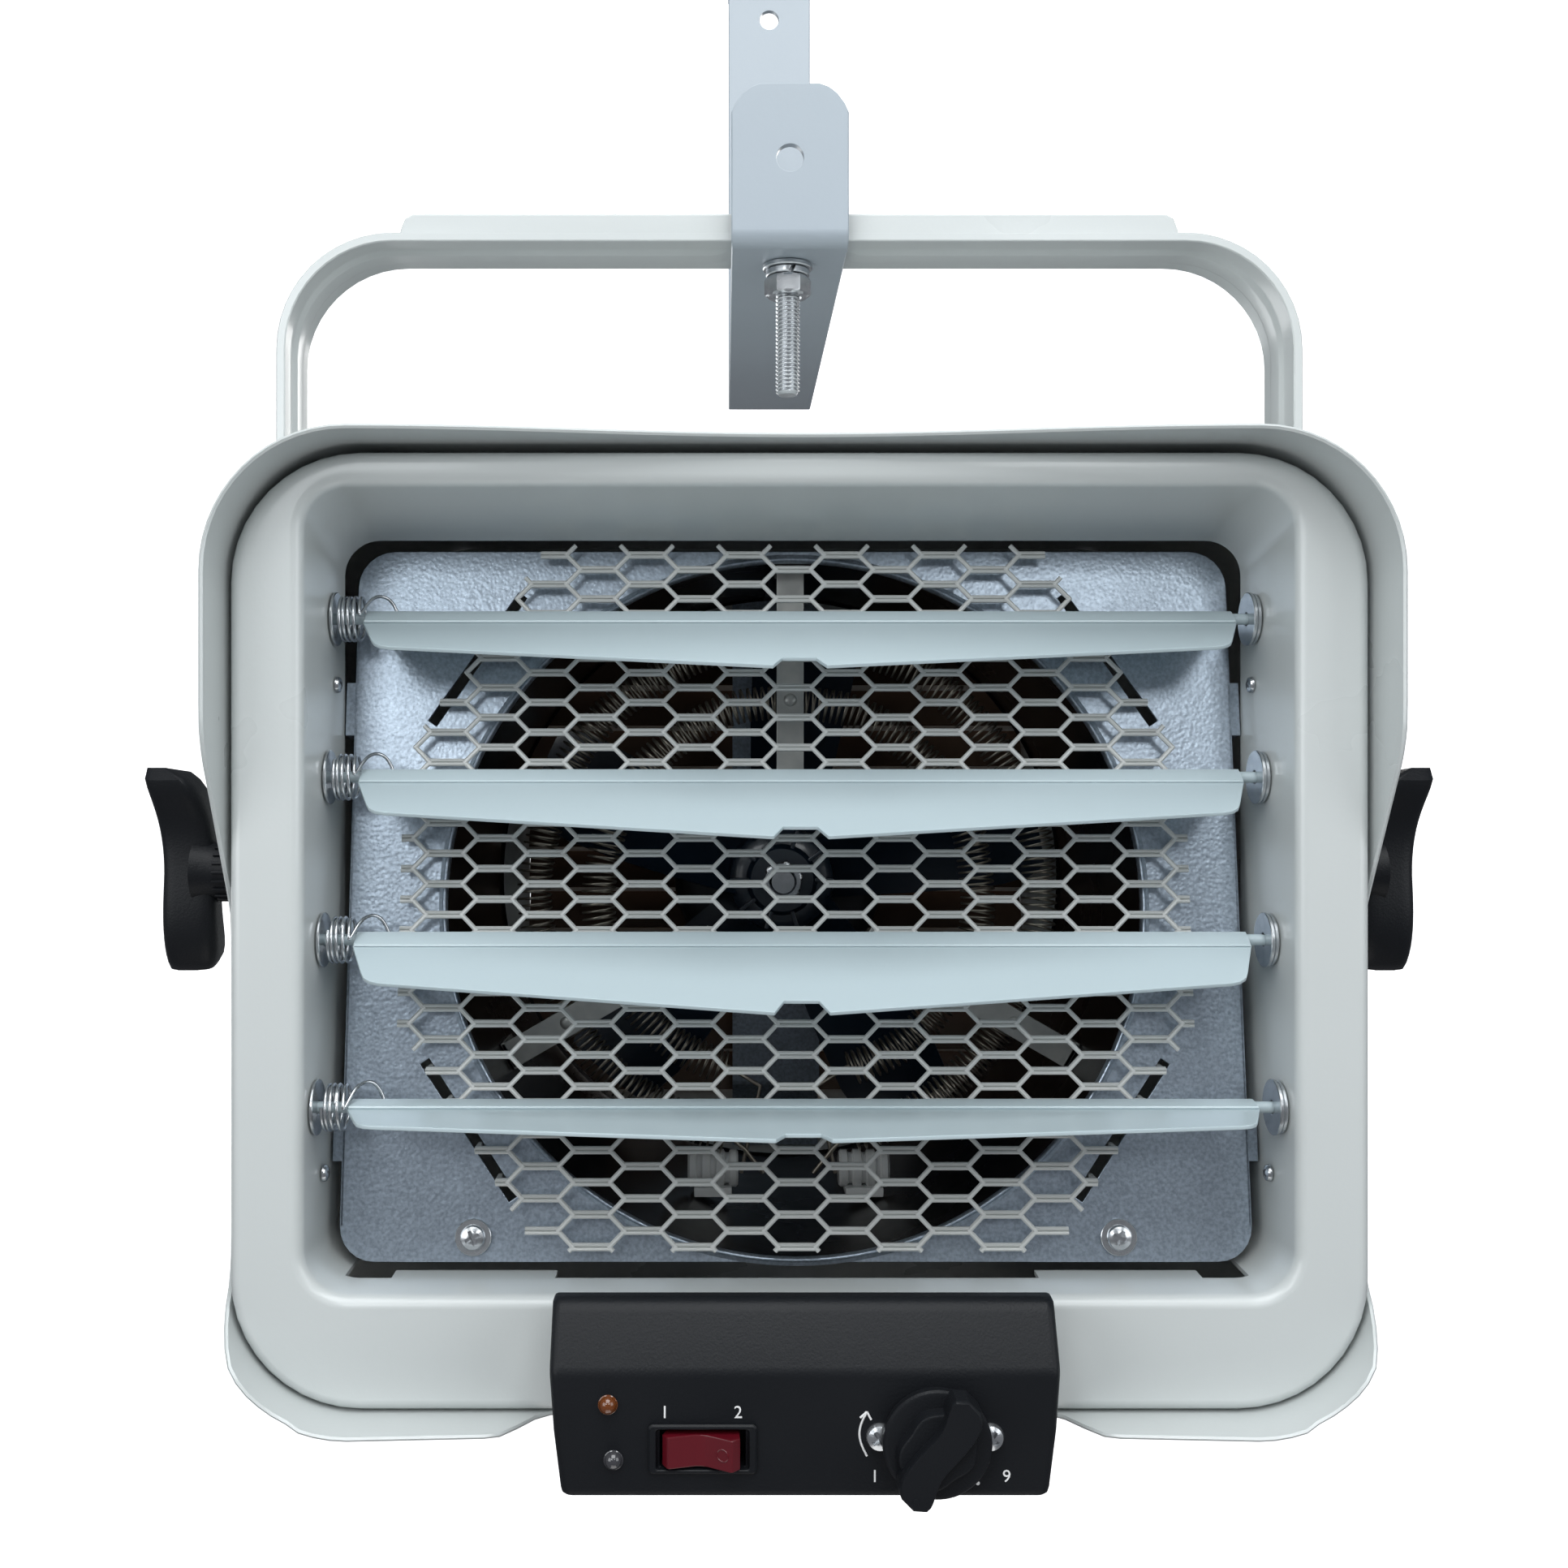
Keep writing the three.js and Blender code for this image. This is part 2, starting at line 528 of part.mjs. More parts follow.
function slotBar(sideX, sideZ, length, width, y0, y1) {
  const geometry = new THREE.BoxGeometry(width, y1 - y0, length);
  geometry.rotateY(-sideX * sideZ * Math.atan2(1, SLOT_SLOPE));
  return solid(geometry.translate(sideX * SLOT_X, (y0 + y1) / 2, GUARD_Z + sideZ * SLOT_Z));
}

function orificePlate() {
  const half = recessX(plateY(RIM_BOTTOM)) - PLATE_MARGIN - RECESS_DRAFT;
  const top = recessRoof(plateY(RIM_TOP)) - PLATE_MARGIN;
  const bottom = RIM_BOTTOM + PLATE_MARGIN;
  const upper = PLATE_TOP_CHAMFER;
  const lower = PLATE_BOTTOM_CHAMFER;
  const edge = outline([
    [lower - half, bottom], [half - lower, bottom], [half, bottom + lower], [half, top - upper],
    [half - upper, top], [upper - half, top], [-half, top - upper], [-half, bottom + lower],
  ]);
  const flange = PLATE_FLANGE + PLATE_SHEET;
  let plate = thickY(edge, 0, PLATE_SHEET);
  for (const [x0, x1] of [[-half, PLATE_SHEET - half], [half - PLATE_SHEET, half]]) {
    plate = plate.add(box(x0, x1, 0, flange, bottom + lower, top - upper));
  }
  const reach = recessX(plateY(PLATE_PAD_Z + PLATE_PAD_HEIGHT) + flange) - CLEAR;
  for (const z of [-PLATE_PAD_Z, PLATE_PAD_Z]) {
    for (const [x0, x1] of [[-reach, PLATE_SHEET - half], [half - PLATE_SHEET, reach]]) {
      plate = plate.add(box(x0, x1, PLATE_SHEET, flange, z - PLATE_PAD_HEIGHT / 2, z + PLATE_PAD_HEIGHT / 2));
    }
  }
  plate = plate.add(rodY(OPENING_RADIUS + OPENING_LIP, -OPENING_LIP, PLATE_SHEET, 0, OPENING_Z, 48));
  plate = plate.subtract(rodY(OPENING_RADIUS, -flange, flange + 1, 0, OPENING_Z, 48));
  guardSlots.forEach(([sx, sz]) => {
    plate = plate.subtract(slotBar(sx, sz, SLOT_LENGTH, SLOT_WIDTH, -1, PLATE_SHEET + 1));
  });
  for (const side of [-1, 1]) {
    plate = plate.subtract(rodY(SCREW_SHANK + CLEAR, -1, PLATE_SHEET + 1, side * PLATE_SCREW_X, PLATE_SCREW_Z, 10));
  }
  return piece('orifice_plate', plate, GALVANISED());
}

// One gap of the guard: a flat hexagon with half a strand left on each side.
function cell(x, z) {
  const rise = CELL_ROW / 2;
  const run = CELL_PITCH - 2 * CELL_FLAT;
  const long = Math.hypot(run, rise);
  const reach = (CELL_PITCH - CELL_FLAT) * rise / long - STRAND / 2;
  const tall = rise - STRAND / 2;
  const tip = reach * long / rise;
  const flat = (reach * long - run * tall) / rise;
  return outline([[tip, 0], [flat, tall], [-flat, tall], [-tip, 0], [-flat, -tall], [flat, -tall]]
    .map(([a, b]) => [x + a, z + b]));
}

// A sheet of expanded metal cut from stock, so that its outer strands end where they were cut.
function guardMesh() {
  const gaps = [];
  const y0 = -GUARD_STAND_OFF - GUARD_SHEET;
  const columns = Math.ceil(GUARD_HALF_WIDTH / CELL_PITCH);
  const rows = Math.ceil(GUARD_HALF_HEIGHT / CELL_ROW);
  for (let i = -columns; i <= columns; i += 1) {
    for (let j = -rows; j <= rows; j += 1) {
      const z = GUARD_Z + (j + (i % 2 === 0 ? 0 : 0.5)) * CELL_ROW;
      gaps.push(thickY(cell(i * CELL_PITCH, z), y0 - 1, y0 + GUARD_SHEET + 1));
    }
  }
  const [w, h, top, side] = [GUARD_HALF_WIDTH, GUARD_HALF_HEIGHT, GUARD_TOP_HALF, GUARD_SIDE_HALF];
  const stock = [[w, -side], [w, side], [top, h], [-top, h], [-w, side], [-w, -side], [-top, -h], [top, -h]];
  const sheet = thickY(outline(stock.map(([x, z]) => [x, z + GUARD_Z])), y0, y0 + GUARD_SHEET);
  let guard = sheet.subtract(wasm.Manifold.union(gaps));
  guardSlots.forEach(([sx, sz]) => {
    guard = guard.add(slotBar(sx, sz, SLOT_LENGTH - 4, SLOT_WIDTH - 4 * CLEAR, y0, PLATE_SHEET + 2));
  });
  const [whole] = guard.decompose().sort((one, other) => other.volume() - one.volume());
  return piece('guard_mesh', whole, GUARD_PAINT());
}

// A pan head screw with its washer, its head towards the viewer.
function faceScrew(name, x, y, z, length) {
  const washer = rodY(SCREW_HEAD + 1.4, y - 1, y, x, z, 14);
  const head = loft([
    roundRing(SCREW_HEAD * 0.5, x, y - 3.2, z), roundRing(SCREW_HEAD * 0.85, x, y - 2.6, z),
    roundRing(SCREW_HEAD, x, y - 1.6, z), roundRing(SCREW_HEAD, x, y - 1, z),
  ]);
  return piece(name, washer.add(solid(head)).add(rodY(SCREW_SHANK, y - 1, y + length, x, z, 8)), ZINC());
}
function roundRing(radius, x, y, z, sides = 14) {
  return Array.from({ length: sides }, (_, i) => {
    const angle = i * 2 * Math.PI / sides;
    return [x + radius * Math.cos(angle), y, z + radius * Math.sin(angle)];
  });
}

// ---- drum, elements and fan ----
const drumRadius = OPENING_RADIUS + DRUM_WALL;

function heaterDrum() {
  const outside = rodY(drumRadius, 0, DRUM_BACK, 0, OPENING_Z, 48);
  const inside = rodY(OPENING_RADIUS, -1, DRUM_BACK + 1, 0, OPENING_Z, 48);
  const ahead = new THREE.BoxGeometry(4 * RIM_HALF, 4 * RIM_HALF, 4 * RIM_HALF)
    .translate(0, PLATE_SHEET + CLEAR - 2 * RIM_HALF, 0).rotateX(-LEAN).translate(0, PLATE_Y, 0);
  return piece('heater_drum', outside.subtract(inside).subtract(solid(ahead)), GALVANISED());
}

// Three flat spokes at twelve, four and eight o'clock that carry the coils.
const spokeAngles = [0, 1, 2].map((i) => Math.PI / 2 - i * 2 * Math.PI / 3);

function elementFrame() {
  const reach = OPENING_RADIUS - CLEAR;
  let frame = rodY(SPOKE_WIDTH, SPOKE_Y, SPOKE_Y + SPOKE_SHEET, 0, OPENING_Z, 20);
  spokeAngles.forEach((angle) => {
    const spoke = new THREE.BoxGeometry(reach, SPOKE_SHEET, SPOKE_WIDTH)
      .translate(reach / 2, SPOKE_Y + SPOKE_SHEET / 2, 0).rotateY(-angle).translate(0, 0, OPENING_Z);
    const foot = new THREE.BoxGeometry(SPOKE_SHEET, SPOKE_WIDTH * 2, SPOKE_WIDTH)
      .translate(reach - SPOKE_SHEET / 2 - 0.5, SPOKE_Y + SPOKE_WIDTH, 0).rotateY(-angle).translate(0, 0, OPENING_Z);
    frame = frame.add(solid(spoke)).add(solid(foot));
  });
  const round = rodY(reach, SPOKE_Y - 1, SPOKE_Y + 3 * SPOKE_WIDTH, 0, OPENING_Z, 48);
  return piece('element_frame', frame.intersect(round), GALVANISED());
}

// A ceramic block on each spoke, between the spoke and the coils.
function elementCeramic(i) {
  const front = SPOKE_Y + SPOKE_SHEET + CLEAR;
  const block = new THREE.BoxGeometry(OUTER_ELEMENT_RADIUS - INNER_ELEMENT_RADIUS + 2 * COIL_RADIUS,
    ELEMENT_Y - COIL_RADIUS - ELEMENT_WIRE / 2 - CLEAR - front, SPOKE_WIDTH - 1);
  block.translate((OUTER_ELEMENT_RADIUS + INNER_ELEMENT_RADIUS) / 2,
    (ELEMENT_Y - COIL_RADIUS - ELEMENT_WIRE / 2 - CLEAR + front) / 2, 0);
  block.rotateY(-spokeAngles[i]).translate(0, 0, OPENING_Z);
  return piece(`element_ceramic_${i + 1}`, solid(block), CERAMIC());
}

// An open coil round a ring, with both ends led straight back into the terminals at the bottom.
function heatingElement(name, ring, curls, terminalX) {
  const steps = 8;
  const gapAngle = (terminalX + COIL_RADIUS + 2) / ring;
  const sweep = 2 * Math.PI - 2 * gapAngle;
  const points = [];
  for (let i = 0; i <= curls * steps; i += 1) {
    const around = -Math.PI / 2 + gapAngle + sweep * i / (curls * steps);
    const curl = Math.PI / 2 + i * 2 * Math.PI / steps;
    const radius = ring + COIL_RADIUS * Math.cos(curl);
    points.push(new THREE.Vector3(radius * Math.cos(around), ELEMENT_Y + COIL_RADIUS * Math.sin(curl),
      OPENING_Z + radius * Math.sin(around)));
  }
  const led = (end) => [2, 1].map((n) => end.clone().add(new THREE.Vector3(0, n * 4 * ELEMENT_WIRE, 0)));
  const tube = [...led(points[0]), ...points, ...led(points[points.length - 1]).reverse()];
  const gap = leastSelfGap(tube, ELEMENT_WIRE / 2, steps - 2);
  console.log(`${name}: least gap to itself ${gap.toFixed(2)} mm`);
  return piece(name, wire(tube, ELEMENT_WIRE / 2, 4), HEATER_WIRE());
}

function terminalInsulator(name, side) {
  const middle = side * 2 * TERMINAL_X;
  const footHalf = INSULATOR_LENGTH / 2 - 2;
  const y = ELEMENT_Y + 4;
  const base = OPENING_Z - Math.sqrt(OPENING_RADIUS ** 2 - (2 * TERMINAL_X + footHalf) ** 2) + CLEAR;
  const foot = box(middle - footHalf, middle + footHalf, y - footHalf, y + footHalf, base, base + 3);
  const barrel = rodX(INSULATOR_RADIUS, middle - INSULATOR_LENGTH / 2, middle + INSULATOR_LENGTH / 2, y,
    base + 2 + INSULATOR_RADIUS, 12);
  return piece(name, barrel.add(foot), CERAMIC());
}

function fanRotor() {
  const reach = FAN_RADIUS;
  let rotor = rodY(HUB_RADIUS, FAN_Y - HUB_LENGTH / 2, FAN_Y + HUB_LENGTH / 2, 0, 0, 24);
  for (let blade = 0; blade < FAN_BLADES; blade += 1) {
    const rings = [0, 0.33, 0.66, 1].map((share) => {
      const out = HUB_RADIUS - 3 + share * (reach - HUB_RADIUS + 3);
      const half = BLADE_CHORD / 2 * (0.6 + 0.55 * share - 0.25 * share * share * share);
      const twist = BLADE_TWIST * (1.35 - 0.5 * share);
      return [[-half, -1], [half, -1], [half, 1], [-half, 1]].map(([along, face]) => {
        const across = along * Math.cos(twist) - face * BLADE_SHEET / 2 * Math.sin(twist);
        const deep = along * Math.sin(twist) + face * BLADE_SHEET / 2 * Math.cos(twist);
        return [across + share * 10, FAN_Y + deep, Math.sqrt(Math.max(1, out * out - across * across))];
      });
    });
    const shape = loft(rings).rotateY(blade * 2 * Math.PI / FAN_BLADES);
    rotor = rotor.add(solid(shape));
  }
  const bore = rodY(SHAFT_RADIUS + CLEAR, FAN_Y - HUB_LENGTH, FAN_Y + HUB_LENGTH, 0, 0, 16);
  const cup = rodY(HUB_RADIUS - 5, FAN_Y + HUB_LENGTH / 2 - 8, FAN_Y + HUB_LENGTH, 0, 0, 16);
  return piece('fan_rotor', rotor.subtract(bore).subtract(cup), BLACK_PLASTIC());
}

function motorShaft() {
  const front = FAN_Y - HUB_LENGTH / 2 - FAN_NUT_HEIGHT - 4;
  return piece('motor_shaft', rodY(SHAFT_RADIUS, front, MOTOR_FRONT - 3 - CLEAR, 0, 0, 16), ZINC());
}

function fanNut() {
  const back = FAN_Y - HUB_LENGTH / 2 - CLEAR;
  const nut = thickY(outline(hexagon(FAN_NUT_ACROSS)), back - FAN_NUT_HEIGHT, back);
  const bore = rodY(SHAFT_RADIUS + CLEAR, back - FAN_NUT_HEIGHT - 1, back + 1, 0, 0, 16);
  return piece('fan_nut', nut.subtract(bore), ZINC());
}

function fanMotor() {
  const can = solid(loft([
    roundRing(MOTOR_RADIUS - 5, 0, MOTOR_FRONT, 0, 28), roundRing(MOTOR_RADIUS, 0, MOTOR_FRONT + 5, 0, 28),
    roundRing(MOTOR_RADIUS, 0, MOTOR_BACK - 3, 0, 28), roundRing(MOTOR_RADIUS - 3, 0, MOTOR_BACK, 0, 28),
  ]));
  const boss = rodY(9, MOTOR_FRONT - 3, MOTOR_FRONT + 1, 0, 0, 16);
  return piece('fan_motor', can.add(boss), MOTOR_ENAMEL());
}

// A bar behind the motor with a foot at each end on the rear panel.
function motorStrap() {
  const rear = SLEEVE_DEPTH - REAR_INSET - REAR_SHEET - CLEAR - MOTOR_STRAP_SHEET / 2;
  const front = MOTOR_BACK + CLEAR + MOTOR_STRAP_SHEET / 2;
  const half = MOTOR_STRAP_HALF;
  const strip = bentStrip([[rear, -half - MOTOR_STRAP_FOOT], [rear, -half], [front, -half + MOTOR_STRAP_RUN],
    [front, half - MOTOR_STRAP_RUN], [rear, half], [rear, half + MOTOR_STRAP_FOOT]], MOTOR_STRAP_SHEET, 3);
  return piece('motor_strap', thickX(strip, -MOTOR_STRAP_WIDTH / 2, MOTOR_STRAP_WIDTH / 2), GALVANISED());
}

// ---- louvers, each drawn about its own pins ----
function louverPivot(i) {
  return [LOUVER_TOP_Y - i * LOUVER_STEP_Y, LOUVER_TOP_Z - i * LOUVER_PITCH];
}

function louver(i) {
  const end = LOUVER_END_CHORD;
  const mid = LOUVER_MID_CHORD;
  const inner = LOUVER_NOTCH_INNER / 2;
  const mouth = LOUVER_NOTCH_MOUTH / 2;
  const depth = LOUVER_NOTCH_DEPTH;
  const blade = outline([
    [-LOUVER_LEFT, 0], [-LOUVER_LEFT, -4], [-LOUVER_LEFT + LOUVER_END_CUT / 2, -end + 5],
    [-LOUVER_LEFT + LOUVER_END_CUT, -end],
    [-mouth, -mid], [-inner, -mid + depth], [inner, -mid + depth], [mouth, -mid],
    [LOUVER_RIGHT - LOUVER_END_CUT, -end], [LOUVER_RIGHT - LOUVER_END_CUT / 2, -end + 5], [LOUVER_RIGHT, -4],
    [LOUVER_RIGHT, 0],
  ]);
  const wall = recessX(louverPivot(i)[0]) + SHEET + 1.5;
  const shape = thickZ(blade, -LOUVER_SHEET / 2, LOUVER_SHEET / 2)
    .add(rodX(LOUVER_HEM_RADIUS, -LOUVER_LEFT, LOUVER_RIGHT, 0, 0, 8))
    .add(rodX(PIN_RADIUS, -wall, wall, 0, 0, 8));
  return piece(`louver_${i + 1}`, shape, PALE_BLUE_PAINT());
}

function louverWasher(i, side) {
  const wall = side * (recessX(louverPivot(i)[0]) - CLEAR);
  const inner = wall - side * (side < 0 ? SPRING_WASHER_LENGTH : LOUVER_WASHER_LENGTH);
  const [x0, x1] = [Math.min(wall, inner), Math.max(wall, inner)];
  const ring = rodX(LOUVER_WASHER_RADIUS, x0, x1, 0, 0, 16);
  const bore = rodX(PIN_RADIUS + CLEAR, x0 - 1, x1 + 1, 0, 0, 8);
  return piece(`louver_washer_${side < 0 ? 'left' : 'right'}_${i + 1}`, ring.subtract(bore), ZINC());
}

// A coil on the left pin between the washer and the louver, with a straight run at each end.
function louverSpring(i) {
  const steps = 8;
  const from = -recessX(louverPivot(i)[0]) + CLEAR + SPRING_WASHER_LENGTH + CLEAR + SPRING_WIRE / 2;
  const to = -LOUVER_LEFT - CLEAR - SPRING_WIRE / 2;
  const points = [];
  for (let s = 0; s <= SPRING_CURLS * steps; s += 1) {
    const angle = s * 2 * Math.PI / steps;
    points.push(new THREE.Vector3(from + (to - from) * s / (SPRING_CURLS * steps),
      SPRING_RADIUS * Math.cos(angle), SPRING_RADIUS * Math.sin(angle)));
  }
  const run = SPRING_WIRE * 1.5;
  points.unshift(points[0].clone().add(new THREE.Vector3(0, 0, -run)));
  points.push(points[points.length - 1].clone().add(new THREE.Vector3(0, 0, run)));
  if (i === 0) {
    console.log(`louver spring: least gap to itself ${leastSelfGap(points, SPRING_WIRE / 2, steps - 2).toFixed(2)} mm`);
  }
  return piece(`louver_spring_${i + 1}`, wire(points, SPRING_WIRE / 2, 5), ZINC());
}

// ---- controls ----
function controlPanel() {
  const back = BEZEL_FACE - SEAT;
  const housing = (inset, y1) => {
    const top = PANEL_TOP - inset;
    const low = PANEL_BOTTOM + inset;
    const front = PANEL_FRONT + inset;
    const row = (half, y, z) => [[-half + inset, y, z], [half - inset, y, z]];
    const side = [[PANEL_HALF_TOP, y1, top], [PANEL_HALF_TOP, PANEL_TOP_FRONT + inset + ROLL, top],
      [PANEL_HALF_TOP, PANEL_TOP_FRONT + inset, top - ROLL], [PANEL_HALF_TOP, front, PANEL_CREASE],
      [PANEL_HALF_BOTTOM, front, low + 1.5], [PANEL_HALF_BOTTOM, front + 1.5, low], [PANEL_HALF_BOTTOM, y1, low]];
    const left = side.map(([half, y, z]) => row(half, y, z)[0]);
    const right = side.map(([half, y, z]) => row(half, y, z)[1]);
    return solid(loft([left, right]));
  };
  let panel = housing(0, back).subtract(housing(PANEL_WALL, back + 1));
  const through = (radius, x, z) => rodY(radius, PANEL_FRONT - 1, PANEL_FRONT + PANEL_WALL + 1, x, z, 12);
  panel = panel.subtract(through(DIAL_SHAFT_RADIUS + 2 * CLEAR, DIAL_X, DIAL_Z));
  for (const side of [-1, 1]) {
    panel = panel.subtract(through(SCREW_SHANK + CLEAR, DIAL_X + side * DIAL_SCREW_SPREAD, DIAL_Z));
  }
  for (const [x, z] of [POWER_LIGHT, ALARM_LIGHT]) panel = panel.subtract(through(LIGHT_RADIUS + CLEAR, x, z));
  const half = SWITCH_WIDTH / 2 - 1.5 + CLEAR;
  const tall = SWITCH_HEIGHT / 2 - 1.2 + CLEAR;
  panel = panel.subtract(box(SWITCH_X - half, SWITCH_X + half, PANEL_FRONT - 1, PANEL_FRONT + PANEL_WALL + 1,
    SWITCH_Z - tall, SWITCH_Z + tall));
  return piece('control_panel', panel, BLACK_PLASTIC());
}

function thermostatBody() {
  const front = PANEL_FRONT + PANEL_WALL + SEAT;
  const half = THERMOSTAT_SIZE / 2;
  const body = box(DIAL_X - half, DIAL_X + half, front, front + THERMOSTAT_DEPTH, DIAL_Z - half + 2, DIAL_Z + half);
  const ears = box(DIAL_X - DIAL_SCREW_SPREAD - 4, DIAL_X + DIAL_SCREW_SPREAD + 4, front, front + 2, DIAL_Z - 5, DIAL_Z + 5);
  let shape = body.add(ears).subtract(rodY(DIAL_SHAFT_RADIUS + CLEAR, front - 1, front + 8, DIAL_X, DIAL_Z, 12));
  for (const side of [-1, 1]) {
    shape = shape.subtract(rodY(SCREW_SHANK + CLEAR, front - 1, front + 3 + DIAL_SCREW_LENGTH,
      DIAL_X + side * DIAL_SCREW_SPREAD, DIAL_Z, 10));
  }
  return piece('thermostat_body', shape, GALVANISED());
}

// The dial is drawn about its own shaft: a skirt, a bowed grip bar and the shaft behind them.
function thermostatDial() {
  const back = -DIAL_STAND_OFF;
  const front = back - DIAL_SKIRT;
  const skirt = solid(loft([
    roundRing(DIAL_RADIUS, 0, back, 0, 28), roundRing(DIAL_RADIUS, 0, front + 1, 0, 28),
    roundRing(DIAL_RADIUS - 1, 0, front, 0, 28),
  ]));
  const half = DIAL_BAR_LENGTH / 2;
  const bow = Array.from({ length: 17 }, (_, i) => {
    const share = i / 8 - 1;
    return [share, DIAL_BAR_WIDTH / 2 * Math.sqrt(Math.max(0, 1 - share ** 6)) * (1 - 0.3 * Math.cos(Math.PI * share))];
  });
  const lean = (share) => 1.6 * Math.sin(Math.PI * share);
  const edge = [...bow.map(([s, w]) => [w * 0.77 + lean(s), s * half]),
    ...bow.slice(1, -1).reverse().map(([s, w]) => [-w * 0.77 + lean(s), s * half])];
  const bar = thickY(outline(edge), -DIAL_BAR_REACH, front + 0.5);
  const shaft = rodY(DIAL_SHAFT_RADIUS, back - 1, PANEL_WALL + 7, 0, 0, 12);
  return piece('thermostat_dial', skirt.add(bar).add(shaft), BLACK_PLASTIC());
}

function dialScrew(name, side) {
  const x = DIAL_X + side * DIAL_SCREW_SPREAD;
  const y = PANEL_FRONT - SEAT;
  const head = loft([
    roundRing(1.8, x, y - 2.2, DIAL_Z), roundRing(3, x, y - 1.6, DIAL_Z), roundRing(3.5, x, y, DIAL_Z),
  ]);
  const shank = rodY(SCREW_SHANK, y - 1, y + PANEL_WALL + DIAL_SCREW_LENGTH, x, DIAL_Z, 8);
  return piece(name, solid(head).add(shank), ZINC());
}

function switchHousing() {
  const half = SWITCH_WIDTH / 2;
  const tall = SWITCH_HEIGHT / 2;
  const front = PANEL_FRONT - SEAT;
  const flange = box(SWITCH_X - half, SWITCH_X + half, front - 1.2, front, SWITCH_Z - tall, SWITCH_Z + tall);
  const body = box(SWITCH_X - half + 1.5, SWITCH_X + half - 1.5, front - 0.5, front + SWITCH_DEPTH,
    SWITCH_Z - tall + 1.2, SWITCH_Z + tall - 1.2);
  const well = box(SWITCH_X - ROCKER_WIDTH / 2 - 3 * CLEAR, SWITCH_X + ROCKER_WIDTH / 2 + 3 * CLEAR, front - 2,
    front + ROCKER_WELL, SWITCH_Z - ROCKER_HEIGHT / 2 - CLEAR, SWITCH_Z + ROCKER_HEIGHT / 2 + CLEAR);
  return piece('switch_housing', flange.add(body).subtract(well), BLACK_PLASTIC());
}

// The rocker is drawn level about its pivot: a shallow valley in front and a rounded keel behind.
function heatRocker() {
  const half = ROCKER_WIDTH / 2;
  const shape = outline([
    [-half, -3], [-half * 0.5, -2.1], [0, -1.7], [half * 0.5, -2.1], [half, -3],
    [half - 0.8, 3], [half * 0.5, 5], [-half * 0.5, 5], [-half + 0.8, 3],
  ]);
  return piece('heat_rocker', thickZ(shape, -ROCKER_HEIGHT / 2, ROCKER_HEIGHT / 2), RED_PLASTIC());
}

function panelLight(name, [x, z], material) {
  const front = PANEL_FRONT;
  const lens = loft([
    roundRing(LIGHT_RADIUS * 0.5, x, front - 2.4, z, 12), roundRing(LIGHT_RADIUS * 0.87, x, front - 1.6, z, 12),
    roundRing(LIGHT_RADIUS, x, front - 0.4, z, 12), roundRing(LIGHT_RADIUS, x, front + PANEL_WALL + 4, z, 12),
  ]);
  return piece(name, lens, material);
}

// ---- handle and knobs ----
const armInner = halfWidth + STRAP_SIDE_GAP;
const armMiddle = armInner + STRAP_THICK / 2;
const strapUnder = PIVOT_Z + STRAP_RISE;
const strapTop = strapUnder + STRAP_THICK;
const shelfUnder = strapUnder - SEAT - HANGER_THICK;

function carryHandle() {
  const mid = strapUnder + STRAP_THICK / 2;
  const path = [[-armMiddle, PIVOT_Z], [-armMiddle, mid], [armMiddle, mid], [armMiddle, PIVOT_Z]];
  const front = PIVOT_Y - STRAP_WIDTH / 2;
  let handle = thickY(bentStrip(path, STRAP_THICK, STRAP_CORNER), front, front + STRAP_WIDTH);
  const taper = STRAP_FLANGE_HEIGHT * 0.6;
  const flange = outline([
    [-STRAP_FLANGE_HALF, strapUnder + 1], [STRAP_FLANGE_HALF, strapUnder + 1], [STRAP_FLANGE_HALF, strapTop],
    [STRAP_FLANGE_HALF - taper, strapTop + STRAP_FLANGE_HEIGHT], [taper - STRAP_FLANGE_HALF, strapTop + STRAP_FLANGE_HEIGHT],
    [-STRAP_FLANGE_HALF, strapTop],
  ]);
  handle = handle.add(thickY(flange, front, front + STRAP_THICK));
  for (const side of [-1, 1]) {
    const [x0, x1] = [side * armInner, side * (armInner + STRAP_THICK)].sort((a, b) => a - b);
    handle = handle.add(rodX(STRAP_WIDTH / 2, x0, x1, PIVOT_Y, PIVOT_Z, 24));
    handle = handle.subtract(rodX(STUD_RADIUS + CLEAR, x0 - 1, x1 + 1, PIVOT_Y, PIVOT_Z));
  }
  const boltHole = rodZ(HANGER_HOLE_RADIUS, strapUnder - 1, strapTop + 1, 0, PIVOT_Y);
  return piece('carry_handle', handle.subtract(boltHole), WARM_GREY_PAINT());
}

// Pieces on one side of the tilt axis, from the casing's wall outwards.
const washerInner = armInner + STRAP_THICK + SEAT;
const knobInner = washerInner + PIVOT_WASHER_THICK + SEAT;

function sideSpan(side, from, to) {
  return side < 0 ? [-to, -from] : [from, to];
}

function pivotWasher(name, side) {
  const [x0, x1] = sideSpan(side, washerInner, washerInner + PIVOT_WASHER_THICK);
  const ring = rodX(PIVOT_WASHER_RADIUS, x0, x1, PIVOT_Y, PIVOT_Z, 20);
  return piece(name, ring.subtract(rodX(STUD_RADIUS + CLEAR, x0 - 1, x1 + 1, PIVOT_Y, PIVOT_Z)), ZINC());
}

function pivotNut(name, side) {
  const [x0, x1] = sideSpan(side, insideHalf - SEAT - PIVOT_NUT_HEIGHT, insideHalf - SEAT);
  const nut = thickX(outline(hexagon(PIVOT_NUT_ACROSS).map(([a, b]) => [a + PIVOT_Y, b + PIVOT_Z])), x0, x1);
  return piece(name, nut.subtract(rodX(STUD_RADIUS + CLEAR, x0 - 1, x1 + 1, PIVOT_Y, PIVOT_Z)), ZINC());
}

